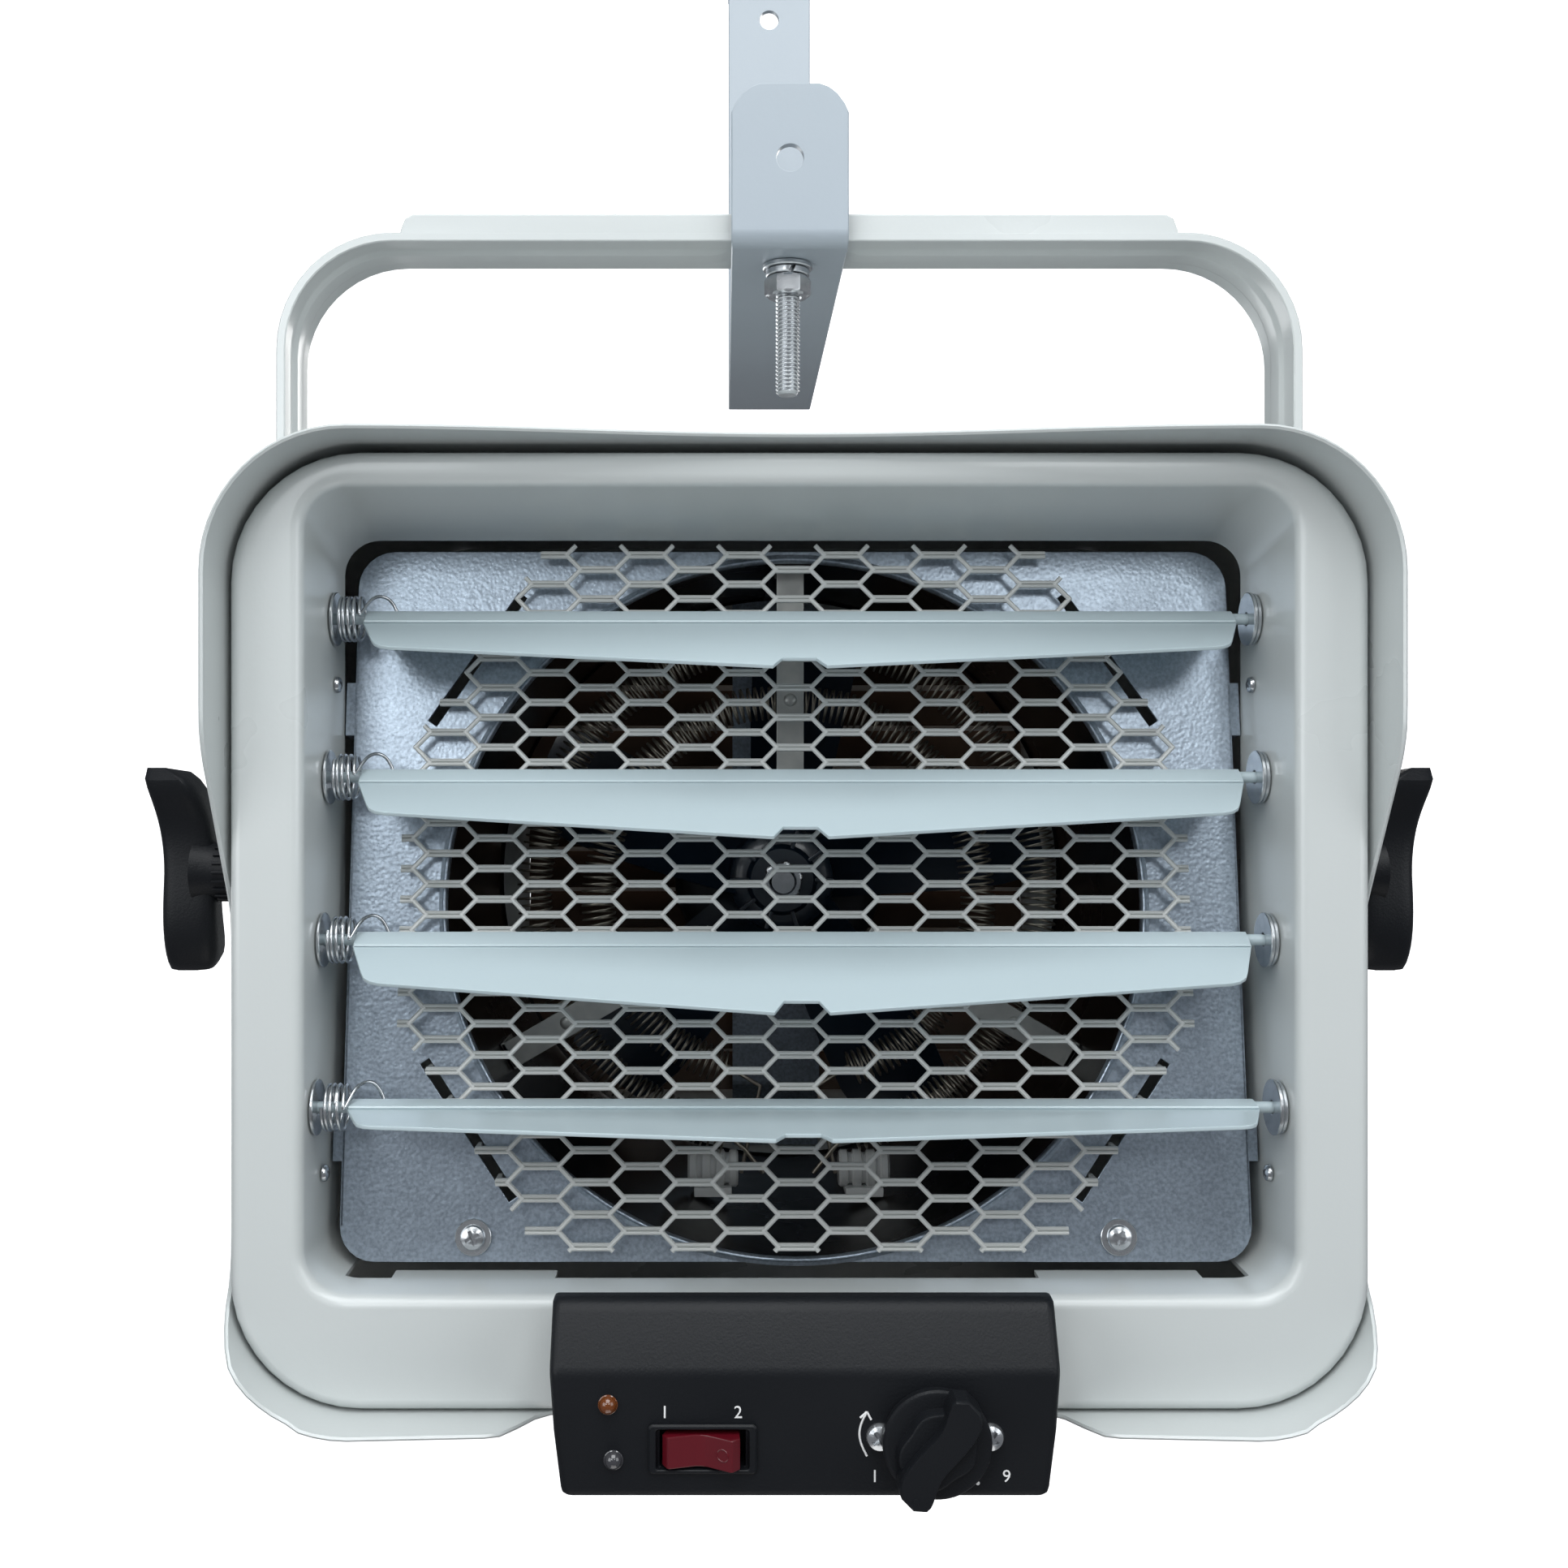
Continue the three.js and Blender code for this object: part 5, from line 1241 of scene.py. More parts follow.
    def _guard(self) -> None:
        """The guard: its strands and the folded ends that pass through the slots."""
        templates = {bond: self._template(bond) for bond in (True, False)}
        tongue = block("tongue", Vector((-0.0006, 0, -0.0006)), Vector((0.0006, 0.0082, 0.0006)))
        lean = Matrix.Rotation(-LEAN, 4, "X")
        bars = []
        for strand in self._strands():
            run = Vector((strand.end[0] - strand.start[0], 0.0, strand.end[1] - strand.start[1]))
            spin = Matrix.Rotation(-atan2(run.z, run.x), 4, "Y")
            stretch = Matrix.Diagonal((run.length + 0.7, 1.0, 1.0, 1.0))
            start = plate_point(strand.start[0], self.guard_y, strand.start[1])
            overlap = Matrix.Translation((-0.35 * MM, 0, 0))
            place = Matrix.Translation(start) @ lean @ spin @ overlap @ stretch
            bars.append(copied(templates[strand.bond], place))
            for (x, z), folded in zip((strand.start, strand.end), strand.folded):
                if folded:
                    bars.append(copied(tongue, Matrix.Translation(plate_point(x, self.guard_y, z))))
        for template in (*templates.values(), tongue):
            bpy.data.objects.remove(template)
        guard = join("guard", bars)
        dress(guard, GUARD_PAINT, "heater", "guard_mesh", angle=28)


def pan_screw(name: str, seat: Vector, axis: Vector, radius: float, height: float, flange: float,
              turn: float) -> Piece:
    """A pan head screw with a cross recess and its washer, its head towards the viewer.

    Args:
        name: the piece's name.
        seat: the middle of the face that it clamps.
        axis: the direction from its head to its point.
        radius: the head's radius in millimetres.
        height: the head's height above the washer, with the washer.
        flange: the washer's radius, or nothing for a bare screw.
        turn: the cross's turn in degrees.

    Returns:
        The screw.
    """
    base = 1.0 if flange else 0.0
    profile = [(TIP, 0.0)]
    if flange:
        profile += [(flange - 0.15, 0.0), (flange, -0.15), (flange, -0.85), (flange - 0.2, -base)]
    profile += [(radius, -base), (radius, -base - 0.3 * (height - base)),
                (radius * 0.88, -base - 0.7 * (height - base)),
                (radius * 0.55, -base - 0.95 * (height - base)), (TIP, -height)]
    head = turned(name, profile, seat, axis, 28)
    basis = axis.to_track_quat("Z", "Y").to_matrix().to_4x4()
    for quarter in (0, 90):
        arm = block("arm", Vector((-radius * 0.62, -radius * 0.16, -height - 1)) * MM,
                    Vector((radius * 0.62, radius * 0.16, -height * 0.5)) * MM)
        spin = Matrix.Rotation(radians(quarter + turn), 4, "Z")
        arm.data.transform(Matrix.Translation(seat) @ basis @ spin)
        head = cut(head, arm)
    return head


# ---------------------------------------------------------------- heating unit and fan


@dataclass
class HeatingUnit:
    """The drum, the spokes with their ceramic blocks, the two coils and their terminals."""

    radius: float = 101.5
    back: float = 170.0
    spoke_y: float = 80.0
    spoke_start: float = 27.0
    element_y: float = 92.0
    rings: tuple[tuple[str, float, int], ...] = (("outer_element", 80.0, 216),
                                                 ("inner_element", 60.0, 160))
    coil: float = 6.0
    wire: float = 0.36
    terminal_x: float = 12.0

    def build(self) -> None:
        """Makes the drum and everything in it, apart from the fan."""
        self._drum()
        self._spokes()
        for node, radius, curls in self.rings:
            self._element(node, radius, curls)
        for index in (1, 2, 3):
            fins = self._ceramic(index)
            dress(fins, CERAMIC, "heater", f"element_ceramic_{index}")
        for node in ("terminal_insulator_left", "terminal_insulator_right"):
            dress(self._insulator(node), CERAMIC, "heater", node)

    def _drum(self) -> None:
        """The drum: a tube of sheet, cut off along the leaning plate, with a hem and a lap seam."""
        count = 144

        def ring(radius: float, share: float) -> Ring:
            """A ring between the drum's leaning front (0) and its back (1).

            Args:
                radius: its radius in millimetres.
                share: where it lies between them.

            Returns:
                The ring.
            """
            points = []
            for i in range(count):
                angle = tau * i / count
                x, z = radius * cos(angle), DRUM_Z + radius * sin(angle)
                front = PLATE_Y + z * tan(LEAN) + 1.4
                points.append(case_point(x, front + (self.back - front) * share, z))
            return points
        rings = [ring(self.radius, share) for share in (0.0, 0.5, 0.97)]
        rings += [ring(self.radius - 0.9, 0.985), ring(self.radius - 0.5, 1.0),
                  ring(self.radius + 1.2, 1.0)]
        rings += [ring(self.radius + 1.2, share) for share in (0.97, 0.5, 0.0)]
        drum = sweep("drum", rings, closed=True)
        seam = block("seam", case_point(-6, 72, DRUM_Z + self.radius - 0.9),
                     case_point(6, 168, DRUM_Z + self.radius + 0.3), 0.2)
        # Painted shade: the drum is dressed near black for its shaded inside.
        dress(join("drum", [drum, seam]), DRUM_PAINTED_SHADE, "heater", "heater_drum", angle=25)

    def _turned_to(self, piece: Piece, degrees: float) -> Piece:
        """Turns a piece that lies along +X about the drum's axis."""
        return turn_about(piece, case_point(0, 0, DRUM_Z), "Y", -radians(degrees))

    def _spokes(self) -> None:
        """Three flat spokes with a folded foot each, which stop short of the fan's nut."""
        pieces = []
        for degrees in SPOKE_ANGLES:
            reach = self.radius - 0.4
            arm = block("arm", case_point(self.spoke_start, self.spoke_y, DRUM_Z - 4.2),
                        case_point(reach, self.spoke_y + 1.4, DRUM_Z + 4.2), 0.25)
            foot = block("foot", case_point(reach - 1.4, self.spoke_y, DRUM_Z - 4.5),
                         case_point(reach, self.spoke_y + 18, DRUM_Z + 4.5), 0.25)
            rivets = [turned("rivet", [(TIP, -1.0), (1.2, -0.9), (1.9, -0.4), (2.1, 0.1),
                                       (TIP, 0.3)], case_point(x, self.spoke_y, DRUM_Z), INTO, 16)
                      for x in (60, 80)]
            pieces.append(self._turned_to(join("spoke", [arm, foot] + rivets), degrees))
        dress(join("element_spokes", pieces), BRIGHT_SHEET, "heater", "element_frame")

    def _ceramic(self, index: int) -> Piece:
        """A ceramic block with notches that hold the coils off its spoke.

        Args:
            index: its number, from 1.

        Returns:
            The block on its spoke.
        """
        parts = [block("body", case_point(54, 81.9, DRUM_Z - 4), case_point(86, 84.4, DRUM_Z + 4),
                       0.5)]
        for x in (54.8, 66.2, 73.8, 85.2):
            parts.append(block("fin", case_point(x - 1.0, 83.4, DRUM_Z - 4),
                               case_point(x + 1.0, 84.9, DRUM_Z + 4), 0.4))
        return self._turned_to(join(f"ceramic_{index}", parts), SPOKE_ANGLES[index - 1])

    def _element(self, node: str, ring: float, curls: int) -> None:
        """An open coil round a ring, both ends led to the terminals in a V.

        Args:
            node: the node it stands for.
            ring: the radius of the ring in millimetres.
            curls: the number of its curls.
        """
        steps = 10
        gap = (self.terminal_x + self.coil + 2) / ring
        span = tau - 2 * gap
        points = []
        for i in range(curls * steps + 1):
            around = -pi / 2 + gap + span * i / (curls * steps)
            curl = pi / 2 + i * tau / steps
            sag = 0.5 * sin(around * 9 + ring)
            radius = ring + sag + (self.coil - 0.7) * cos(curl)
            y = self.element_y + (self.coil - 0.7) * sin(curl)
            points.append(case_point(radius * cos(around), y, DRUM_Z + radius * sin(around)))
        coil = wire("coil", points, self.wire * MM, 1)
        leads = []
        for side, end in ((1, points[0]), (-1, points[-1])):
            foot = case_point(side * (8 if ring > 70 else 15), self.element_y + 3, DRUM_Z - 90)
            knee = case_point(side * (14 if ring > 70 else 9), self.element_y + 1, DRUM_Z - ring
                              - 2)
            leads.append(wire("lead", [end, end.lerp(knee, 0.5), knee, foot], 0.7 * MM, 2))
        dress(join(node + "_coil", [coil] + leads), ELEMENT_WIRE, "heater", node, angle=60)

    def _insulator(self, node: str) -> Piece:
        """A ribbed ceramic barrel on a small foot.

        Args:
            node: the node it stands for.

        Returns:
            The insulator.
        """
        low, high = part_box(node)
        middle = (low + high) / 2
        barrel_z = high.z - 6 * MM
        half = 8.0
        profile = [(2.0, -half + 0.4), (2.2, -half + 0.2), (5.2, -half), (5.9, -half + 0.7)]
        for rib in range(3):
            at = -half + 2.6 + rib * 4.4
            profile += [(5.9, at), (4.9, at + 0.5), (4.9, at + 1.6), (5.9, at + 2.1)]
        profile += [(5.9, half - 0.7), (5.2, half), (2.2, half - 0.2), (2.0, half - 0.4)]
        barrel = turned("barrel", [(TIP, -half + 0.4)] + profile + [(TIP, half - 0.4)],
                        Vector((middle.x, middle.y, barrel_z)), ACROSS, 28)
        foot = block("foot", Vector((low.x + 2 * MM, low.y + 0.2 * MM, low.z)),
                     Vector((high.x - 2 * MM, high.y - 0.2 * MM, low.z + 3 * MM)), 0.5)
        return join(node + "_look", [barrel, foot])


@dataclass
class FanUnit:
    """The pressed fan with its ribbed hub and nut, and the motor behind it."""

    fan_y: float = 160.0
    hub: float = 19.0
    reach: float = 94.0
    blades: int = 5
    ribs: int = 10

    def build(self) -> None:
        """Makes the fan, its nut, the shaft and the motor."""
        self._rotor()
        self._nut()
        self._motor()
        refinish(ZINC, "motor_shaft")
        smooth(frame["nodes"]["motor_shaft"])
        refinish(GALVANISED, "motor_strap")

    def _rotor(self) -> None:
        """Five swept blades on a hub with ribs."""
        centre = case_point(0, self.fan_y, DRUM_Z)
        profile = [(4.3, -11.8), (6.0, -12.0), (11.0, -11.6), (12.2, -10.4), (12.6, -9.2),
                   (16.2, -8.6), (18.2, -7.2), (18.9, -4.0), (19.0, 9.0), (18.4, 11.8),
                   (14.2, 12.0), (14.0, 5.0), (4.3, 5.0)]
        parts = [sweep("hub", spun(profile, centre, INTO, 64), closed=True)]
        for rib in range(self.ribs):
            piece = block("rib", case_point(11.5, self.fan_y - 11.0, DRUM_Z - 0.7),
                          case_point(18.2, self.fan_y - 6.5, DRUM_Z + 0.7), 0.4)
            parts.append(turn_about(piece, centre, "Y", rib * tau / self.ribs))
        blade = self._blade()
        for index in range(self.blades):
            twin = copied(blade, Matrix())
            parts.append(turn_about(twin, centre, "Y", index * tau / self.blades))
        bpy.data.objects.remove(blade)
        dress(join("fan", parts), FAN_BLUE, "fan", "fan_rotor", angle=30)

    def _blade(self) -> Piece:
        """One blade: a twisted, slightly cupped sheet from the hub to a round tip.

        Returns:
            The blade that points up.
        """
        rings = []
        chords = 11
        for share in (0.0, 0.2, 0.4, 0.6, 0.8, 0.93, 1.0):
            out = self.hub - 2 + share * (self.reach - self.hub + 1.6)
            taper = 1.0 if share < 0.9 else 1.0 - 2.2 * (share - 0.9)
            half = 23.0 * (0.6 + 0.55 * share - 0.25 * share ** 3) * taper
            twist = radians(28) * (1.35 - 0.5 * share)
            front, back = [], []
            for step in range(chords):
                along = (2 * step / (chords - 1) - 1) * half
                cup = 2.2 * (1 - (along / half) ** 2)
                for face, line in ((-1, front), (1, back)):
                    lift = face * 0.55 * (1 - 0.5 * abs(along / half) ** 4) + cup - 1.4
                    across = along * cos(twist) - lift * sin(twist)
                    deep = along * sin(twist) + lift * cos(twist)
                    up = sqrt(max(1.0, out * out - across * across))
                    line.append(case_point(across + share * 10, self.fan_y + deep, DRUM_Z + up))
            rings.append(front + back[::-1])
        return sweep("blade", rings, caps=True)

    def _nut(self) -> None:
        """The fan's nut."""
        low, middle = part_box("fan_nut")[0], node_middle("fan_nut")
        nut = hex_nut("fan_nut_look", Vector((middle.x, low.y, middle.z)), INTO, M8_FLATS, 6.4,
                      4.35, 12.0)
        dress(nut, ZINC, "fan", "fan_nut")

    def _motor(self) -> None:
        """The motor's can with its rolled joint, four through bolts and a nameless cap."""
        low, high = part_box("fan_motor")
        middle = (low + high) / 2
        depth = (high.y - low.y) / MM
        profile = [(TIP, 0.0), (9.0, 0.0), (9.0, 3.0), (31.0, 3.4), (35.5, 4.6), (38.2, 7.4),
                   (38.9, 10.0), (38.9, 20.0), (38.0, 20.8), (38.0, 22.4), (38.9, 23.2),
                   (38.9, depth - 4), (36.5, depth - 0.6), (TIP, depth)]
        can = turned("can", profile, Vector((middle.x, low.y, middle.z)), INTO, 56)
        bolts = []
        for quarter in range(4):
            angle = radians(45 + 90 * quarter)
            place = Vector((middle.x + 27 * MM * cos(angle), low.y + 2.8 * MM,
                            middle.z + 27 * MM * sin(angle)))
            bolts.append(turned("bolt", [(TIP, -1.2), (2.3, -1.0), (2.8, -0.2), (2.8, 1.4)], place,
                                INTO, 16))
        dress(join("motor", [can] + bolts), MOTOR_ENAMEL, "heater", "fan_motor")


def hex_nut(name: str, front: Vector, axis: Vector, across: float, height: float, bore: float,
            turn: float) -> Piece:
    """A hexagon nut with chamfered corners and a bore.

    Args:
        name: the piece's name.
        front: the middle of its first face.
        axis: the direction from its first face to its second.
        across: the distance across its flats in millimetres.
        height: its height in millimetres.
        bore: the bore's radius in millimetres.
        turn: its turn about the axis in degrees.

    Returns:
        The nut.
    """
    count = 48
    basis = axis.normalized().to_track_quat("Z", "Y").to_matrix()

    def ring(limit: float, along: float) -> Ring:
        """A hexagon whose corners are cut to a circle of the limit's radius.

        Args:
            limit: the circle's radius in millimetres.
            along: its distance along the axis.

        Returns:
            The ring.
        """
        points = []
        for i in range(count):
            angle = tau * i / count
            flat = across / 2 / cos((angle + pi / 6) % (pi / 3) - pi / 6)
            radius = min(flat, limit)
            spin = angle + radians(turn)
            place = Vector((radius * cos(spin), radius * sin(spin), along))
            points.append(front + basis @ place * MM)
        return points
    corner = across / sqrt(3)
    rings = [ring(across / 2 * 0.96, 0.0), ring(corner * 0.955, 0.5), ring(corner, 1.2),
             ring(corner, height - 1.2), ring(corner * 0.955, height - 0.5),
             ring(across / 2 * 0.96, height), ring(bore + 0.5, height), ring(bore, height - 0.6),
             ring(bore, 0.6), ring(bore + 0.5, 0.0)]
    return sweep(name, rings, closed=True)


# ---------------------------------------------------------------- louvers


@dataclass
class Louvers:
    """Four louvers on their pins, a spring on each left pin and washers on both."""

    tilts: tuple[float, ...] = (26.0, 26.0, 26.0, 2.0)
    left: float = -124.8
    right: float = 127.5
    half_outline: tuple[Pair, ...] = ((4.6, -31.5), (7.25, -37.0))

    def build(self) -> None:
        """Makes the louvers with their springs and washers."""
        for index, tilt in enumerate(self.tilts):
            pivot = louver_pivot(index)
            self._blade(index + 1, pivot, radians(tilt))
            self._spring(index + 1, pivot)
            self._washers(index + 1, pivot)

    def _outline(self) -> list[Pair]:
        """The blade's outline: x along it and y across it, its front edge a shallow V with a notch.

        Returns:
            The points of the outline in millimetres.
        """
        left, right = self.left, self.right
        side = ((0.0, 2.4), (0.0, -4.0), (2.6, -11.0), (5.0, -17.5), (6.3, -20.4), (8.3, -22.2),
                (11.0, -23.1))
        points = [(left + inset, y) for inset, y in side]
        points += [(-x, y) for x, y in self.half_outline[::-1]] + list(self.half_outline)
        points += [(right - inset, y) for inset, y in side[::-1]]
        return points

    def _blade(self, number: int, pivot: Vector, tilt: float) -> None:
        """One blade with a folded back edge and its pins.

        Args:
            number: the louver's number from the top.
            pivot: the middle of its pins.
            tilt: how far its front edge hangs down, in radians.
        """
        sheet = cut_sheet("sheet", self._outline(), lambda a, b, h: pivot + Vector((a, b, h)) * MM,
                          1.2, 0.32)
        fold = []
        for y, z in ((-4.6, 0.5), (-4.9, 0.9), (-4.5, 1.35), (-1.5, 2.0), (0.8, 2.15), (1.9, 1.5),
                     (2.2, 0.3), (1.9, -1.2), (0.8, -2.0), (-0.8, -1.9), (-1.8, -0.9),
                     (-2.6, -0.5)):
            fold.append((y, z))
        hem = sweep("hem", [[pivot + Vector((x, y, z)) * MM for y, z in fold]
                            for x in (self.left + 0.6, self.left + 1.0, self.right - 1.0,
                                      self.right - 0.6)], caps=True)
        pin = turned("pin", [(TIP, -136.8), (1.3, -136.6), (1.6, -136.0), (1.6, 136.0),
                             (1.3, 136.6), (TIP, 136.8)], pivot, ACROSS, 20)
        blade = join(f"blade_{number}", [sheet, hem, pin])
        turn_about(blade, pivot, "X", tilt)
        dress(blade, LOUVER_PAINT, f"louver_{number}", f"louver_{number}", angle=28)

    def _spring(self, number: int, pivot: Vector) -> None:
        """A coil on the left pin, its free end hooked over the blade's back edge.

        Args:
            number: the louver's number from the top.
            pivot: the middle of its pins.
        """
        points = []
        curls, steps = 4, 20
        for step in range(curls * steps + steps // 4 + 1):
            angle = step * tau / steps + pi / 2 + number * 0.35 * (0 if step > 60 else 1)
            share = step / (curls * steps)
            radius = 6.35 - 0.7 * max(0.0, share - 0.8)
            points.append(pivot + Vector((-131.3 + 5.6 * share ** 1.25, radius * cos(angle),
                                          radius * sin(angle))) * MM)
        last = (points[-1] - pivot) / MM
        for x, y, z in ((1.2, 1.2, 3.2), (2.6, 2.0, 6.0), (4.6, 2.6, 7.1), (6.8, 3.2, 6.2),
                        (8.6, 3.6, 3.6), (9.6, 3.4, 0.6), (9.9, 2.9, -1.6)):
            points.append(pivot + Vector((last.x + x, last.y * max(0.0, 1 - x / 5) + y, z)) * MM)
        spring = wire(f"spring_{number}", points, 0.5 * MM, 2, smooth_line=True)
        dress(spring, ZINC, f"louver_{number}", f"louver_spring_{number}", angle=60)

    def _washers(self, number: int, pivot: Vector) -> None:
        """A thin washer on the left pin and two stacked ones on the right.

        Args:
            number: the louver's number from the top.
            pivot: the middle of its pins.
        """
        for side, count in (("left", 1), ("right", 2)):
            node = f"louver_washer_{side}_{number}"
            low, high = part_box(node)
            thick = (high.x - low.x) / MM / count
            rings = []
            for index in range(count):
                seat = Vector((low.x + (index * thick + 0.05) * MM, pivot.y, pivot.z))
                rings.append(washer("ring", 7.75 - 0.35 * index, 1.95, thick - 0.1, seat, ACROSS,
                                    0.22, 40))
            dress(join(f"{node}_look", rings), ZINC, "heater", node)


# ---------------------------------------------------------------- handle, knobs and hanger


@dataclass
class Handle:
    """The strap handle with its stiffening flange and its embossed bead."""

    half: float = 159.5
    thick: float = 2.8
    width: float = 28.0
    corner: float = 35.0
    under: float = 209.1
    bead_start: float = 19.0
    bead_depth: float = 1.4

    def build(self) -> None:
        """Makes the handle."""
        strap = cut(self._strap(), turned("bore", [(M8_BORE, -5), (M8_BORE, 5)],
                                          case_point(0, TILT_AXIS[0], self.under + 1.4), UP, 32))
        front = TILT_AXIS[0] - self.width / 2
        z = self.under + 0.6
        outline = [(-122.0, z), (122.0, z), (122.0, z + 3.0), (120.6, z + 6.6), (118.0, z + 8.1),
                   (-118.0, z + 8.1), (-120.6, z + 6.6), (-122.0, z + 3.0)]
        flange = cut_sheet("flange", outline, lambda a, b, h: case_point(a, front + 1.2 + h, b),
                           2.3, 0.75)
        ends = []
        for side in (-1, 1):
            ends.append(washer("end", 14.0, 4.3, self.thick,
                               case_point(side * self.half - self.thick / 2, *TILT_AXIS), ACROSS,
                               0.4, 64))
        dress(join("handle", [strap, flange] + ends), CASING_PAINT, "hanger", "carry_handle",
              angle=40)

    def _path(self) -> list[tuple[float, float, float, float]]:
        """The strap's middle line from one pivot to the other.

        Returns:
            Each point's x and z, and the x and z of the direction out of the loop.
        """
        top = self.under + self.thick / 2
        corner = self.corner
        start = TILT_AXIS[1] + 5
        arm = [start + (top - corner - start) * i / 12 for i in range(12)]
        half = [(self.half, z, 1.0, 0.0) for z in arm]
        for step in range(13):
            angle = step * pi / 24
            half.append((self.half - corner + corner * cos(angle),
                         top - corner + corner * sin(angle), cos(angle), sin(angle)))
        run = self.half - corner
        half += [(x, top, 0.0, 1.0) for x in (run * 0.8, run * 0.55, run * 0.3, 25.0, 22.5, 20.5,
                                              19.0, 17.5, 9.0)]
        return half + [(0.0, top, 0.0, 1.0)] + [(-x, z, -nx, nz) for x, z, nx, nz in half[::-1]]

    def _strap(self) -> Piece:
        """The strap itself: flat sheet, with a bead pressed along its middle.

        Returns:
            The strap.
        """
        rings = []
        for x, z, nx, nz in self._path():
            rise = min(1.0, max(0.0, (abs(x) - self.bead_start) / 4.5))
            swell = rise * min(1.0, max(0.0, (z - 20) / 14))
            half = self.thick / 2
            under = [(-half + 0.35, 14.0), (-half, 13.65), (-half, 6.2),
                     (-half - 0.25 * swell, 5.2), (-half - 1.15 * swell, 4.2),
                     (-half - 1.35 * swell, 3.2)]
            above = [(half - 0.35, 14.0), (half, 13.65), (half, 5.4), (half - 0.9 * swell, 3.8)]
            line = [(out, -across) for out, across in under] + [(-half - self.bead_depth * swell,
                                                                 0.0)]
            line += under[::-1] + above + [(out, -across) for out, across in above[::-1]]
            rings.append([case_point(x + out * nx, TILT_AXIS[0] + across, z + out * nz) for out,
                          across in line])
        return sweep("strap", rings, caps=True)


@dataclass
class Knobs:
    """The two clamping knobs that hold the tilt, with their studs and washers."""

    reach: float = 34.3
    lean: float = 15.0
    hub: float = 27.0
    ribs: int = 20

    def build(self) -> None:
        """Makes both sides."""
        for side, word in ((-1, "left"), (1, "right")):
            self._knob(side, word)
            low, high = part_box(f"pivot_washer_{word}")
            middle = (low + high) / 2
            ring = washer(f"tilt_washer_{word}", 11.0, 4.3, 1.6,
                          Vector((low.x, middle.y, middle.z)), ACROSS, 0.25, 48)
            dress(ring, ZINC, frame_body(f"pivot_washer_{word}"), f"pivot_washer_{word}")
        for node in ("pivot_nut_left", "pivot_nut_right", "knob_stud_left", "knob_stud_right"):
            refinish(ZINC, node)
            smooth(frame["nodes"][node])

    def _knob(self, side: int, word: str) -> None:
        """A ribbed hub that flows into a bowed wing with round lobes.

        Args:
            side: -1 on the left and 1 on the right.
            word: the side's name.
        """
        node = f"tilt_knob_{word}"
        low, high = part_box(node)
        centre = case_point(0, *TILT_AXIS)
        inner = min(abs(low.x), abs(high.x))
        outer = max(abs(low.x), abs(high.x)) / MM
        rings = []
        count, levels = 48, 25
        for level in range(levels):
            s = 2 * level / (levels - 1) - 1
            along = s * self.reach
            tip = sqrt(max(0.0, 1 - abs(s) ** 7))
            bow = 4 * sin(pi * s)
            wide = (6.4 + 2.6 * s * s) * tip + 0.05
            above, below = max(0.0, s), max(0.0, -s)
            face = outer - 4.9 + 4.7 * above ** 1.5 + 0.9 * below ** 1.5 - 1.5 * (1 - tip)
            back = face - (16.6 + 1.6 * below) * (0.35 + 0.65 * tip)
            ring = []
            for i in range(count):
                angle = tau * i / count
                c, n = cos(angle), sin(angle)
                u = abs(c) ** 0.45 * (1 if c > 0 else -1)
                v = abs(n) ** 0.55 * (1 if n > 0 else -1)
                x = (face + back) / 2 + (face - back) / 2 * u
                ring.append(centre + Vector((side * x, bow + wide * v, along)) * MM)
            rings.append(ring)
        wing = turn_about(sweep("wing", rings, caps=True), centre, "X", radians(self.lean))
        axis = Vector((side, 0, 0))
        hub = turned("hub", [(4.4, 0.0), (9.2, 0.0), (10.0, 0.7), (9.7, 6.0), (9.2, 14.0),
                             (9.0, 19.0), (9.8, 24.0), (10.6, self.hub), (4.4, self.hub)],
                     centre + Vector((side * inner, 0, 0)), axis, 48)
        ribs = []
        for index in range(self.ribs):
            rib = block("rib", centre + Vector((inner, -0.0005, 0.0088)),
                        centre + Vector((inner + 20 * MM, 0.0005, 0.0099)), 0.3)
            mirror = Matrix.Diagonal((side, 1, 1, 1))
            rib.data.transform(Matrix.Translation(centre) @ mirror @ Matrix.Translation(-centre))
            ribs.append(turn_about(rib, centre, "X", index * tau / self.ribs))
        knob = join(f"knob_{word}", [wing, hub] + ribs)
        pick(knob)
        bpy.ops.object.mode_set(mode="EDIT")
        bpy.ops.mesh.select_all(action="SELECT")
        bpy.ops.mesh.normals_make_consistent(inside=False)
        bpy.ops.object.mode_set(mode="OBJECT")
        dress(knob, BLACK_PLASTIC, f"knob_{word}", node, angle=42)


def frame_body(node: str) -> str:
    """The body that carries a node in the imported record."""
    bodies = frame["record"]["behaviour"]["bodies"]
    return next(body for body, nodes in bodies.items() if node in nodes)


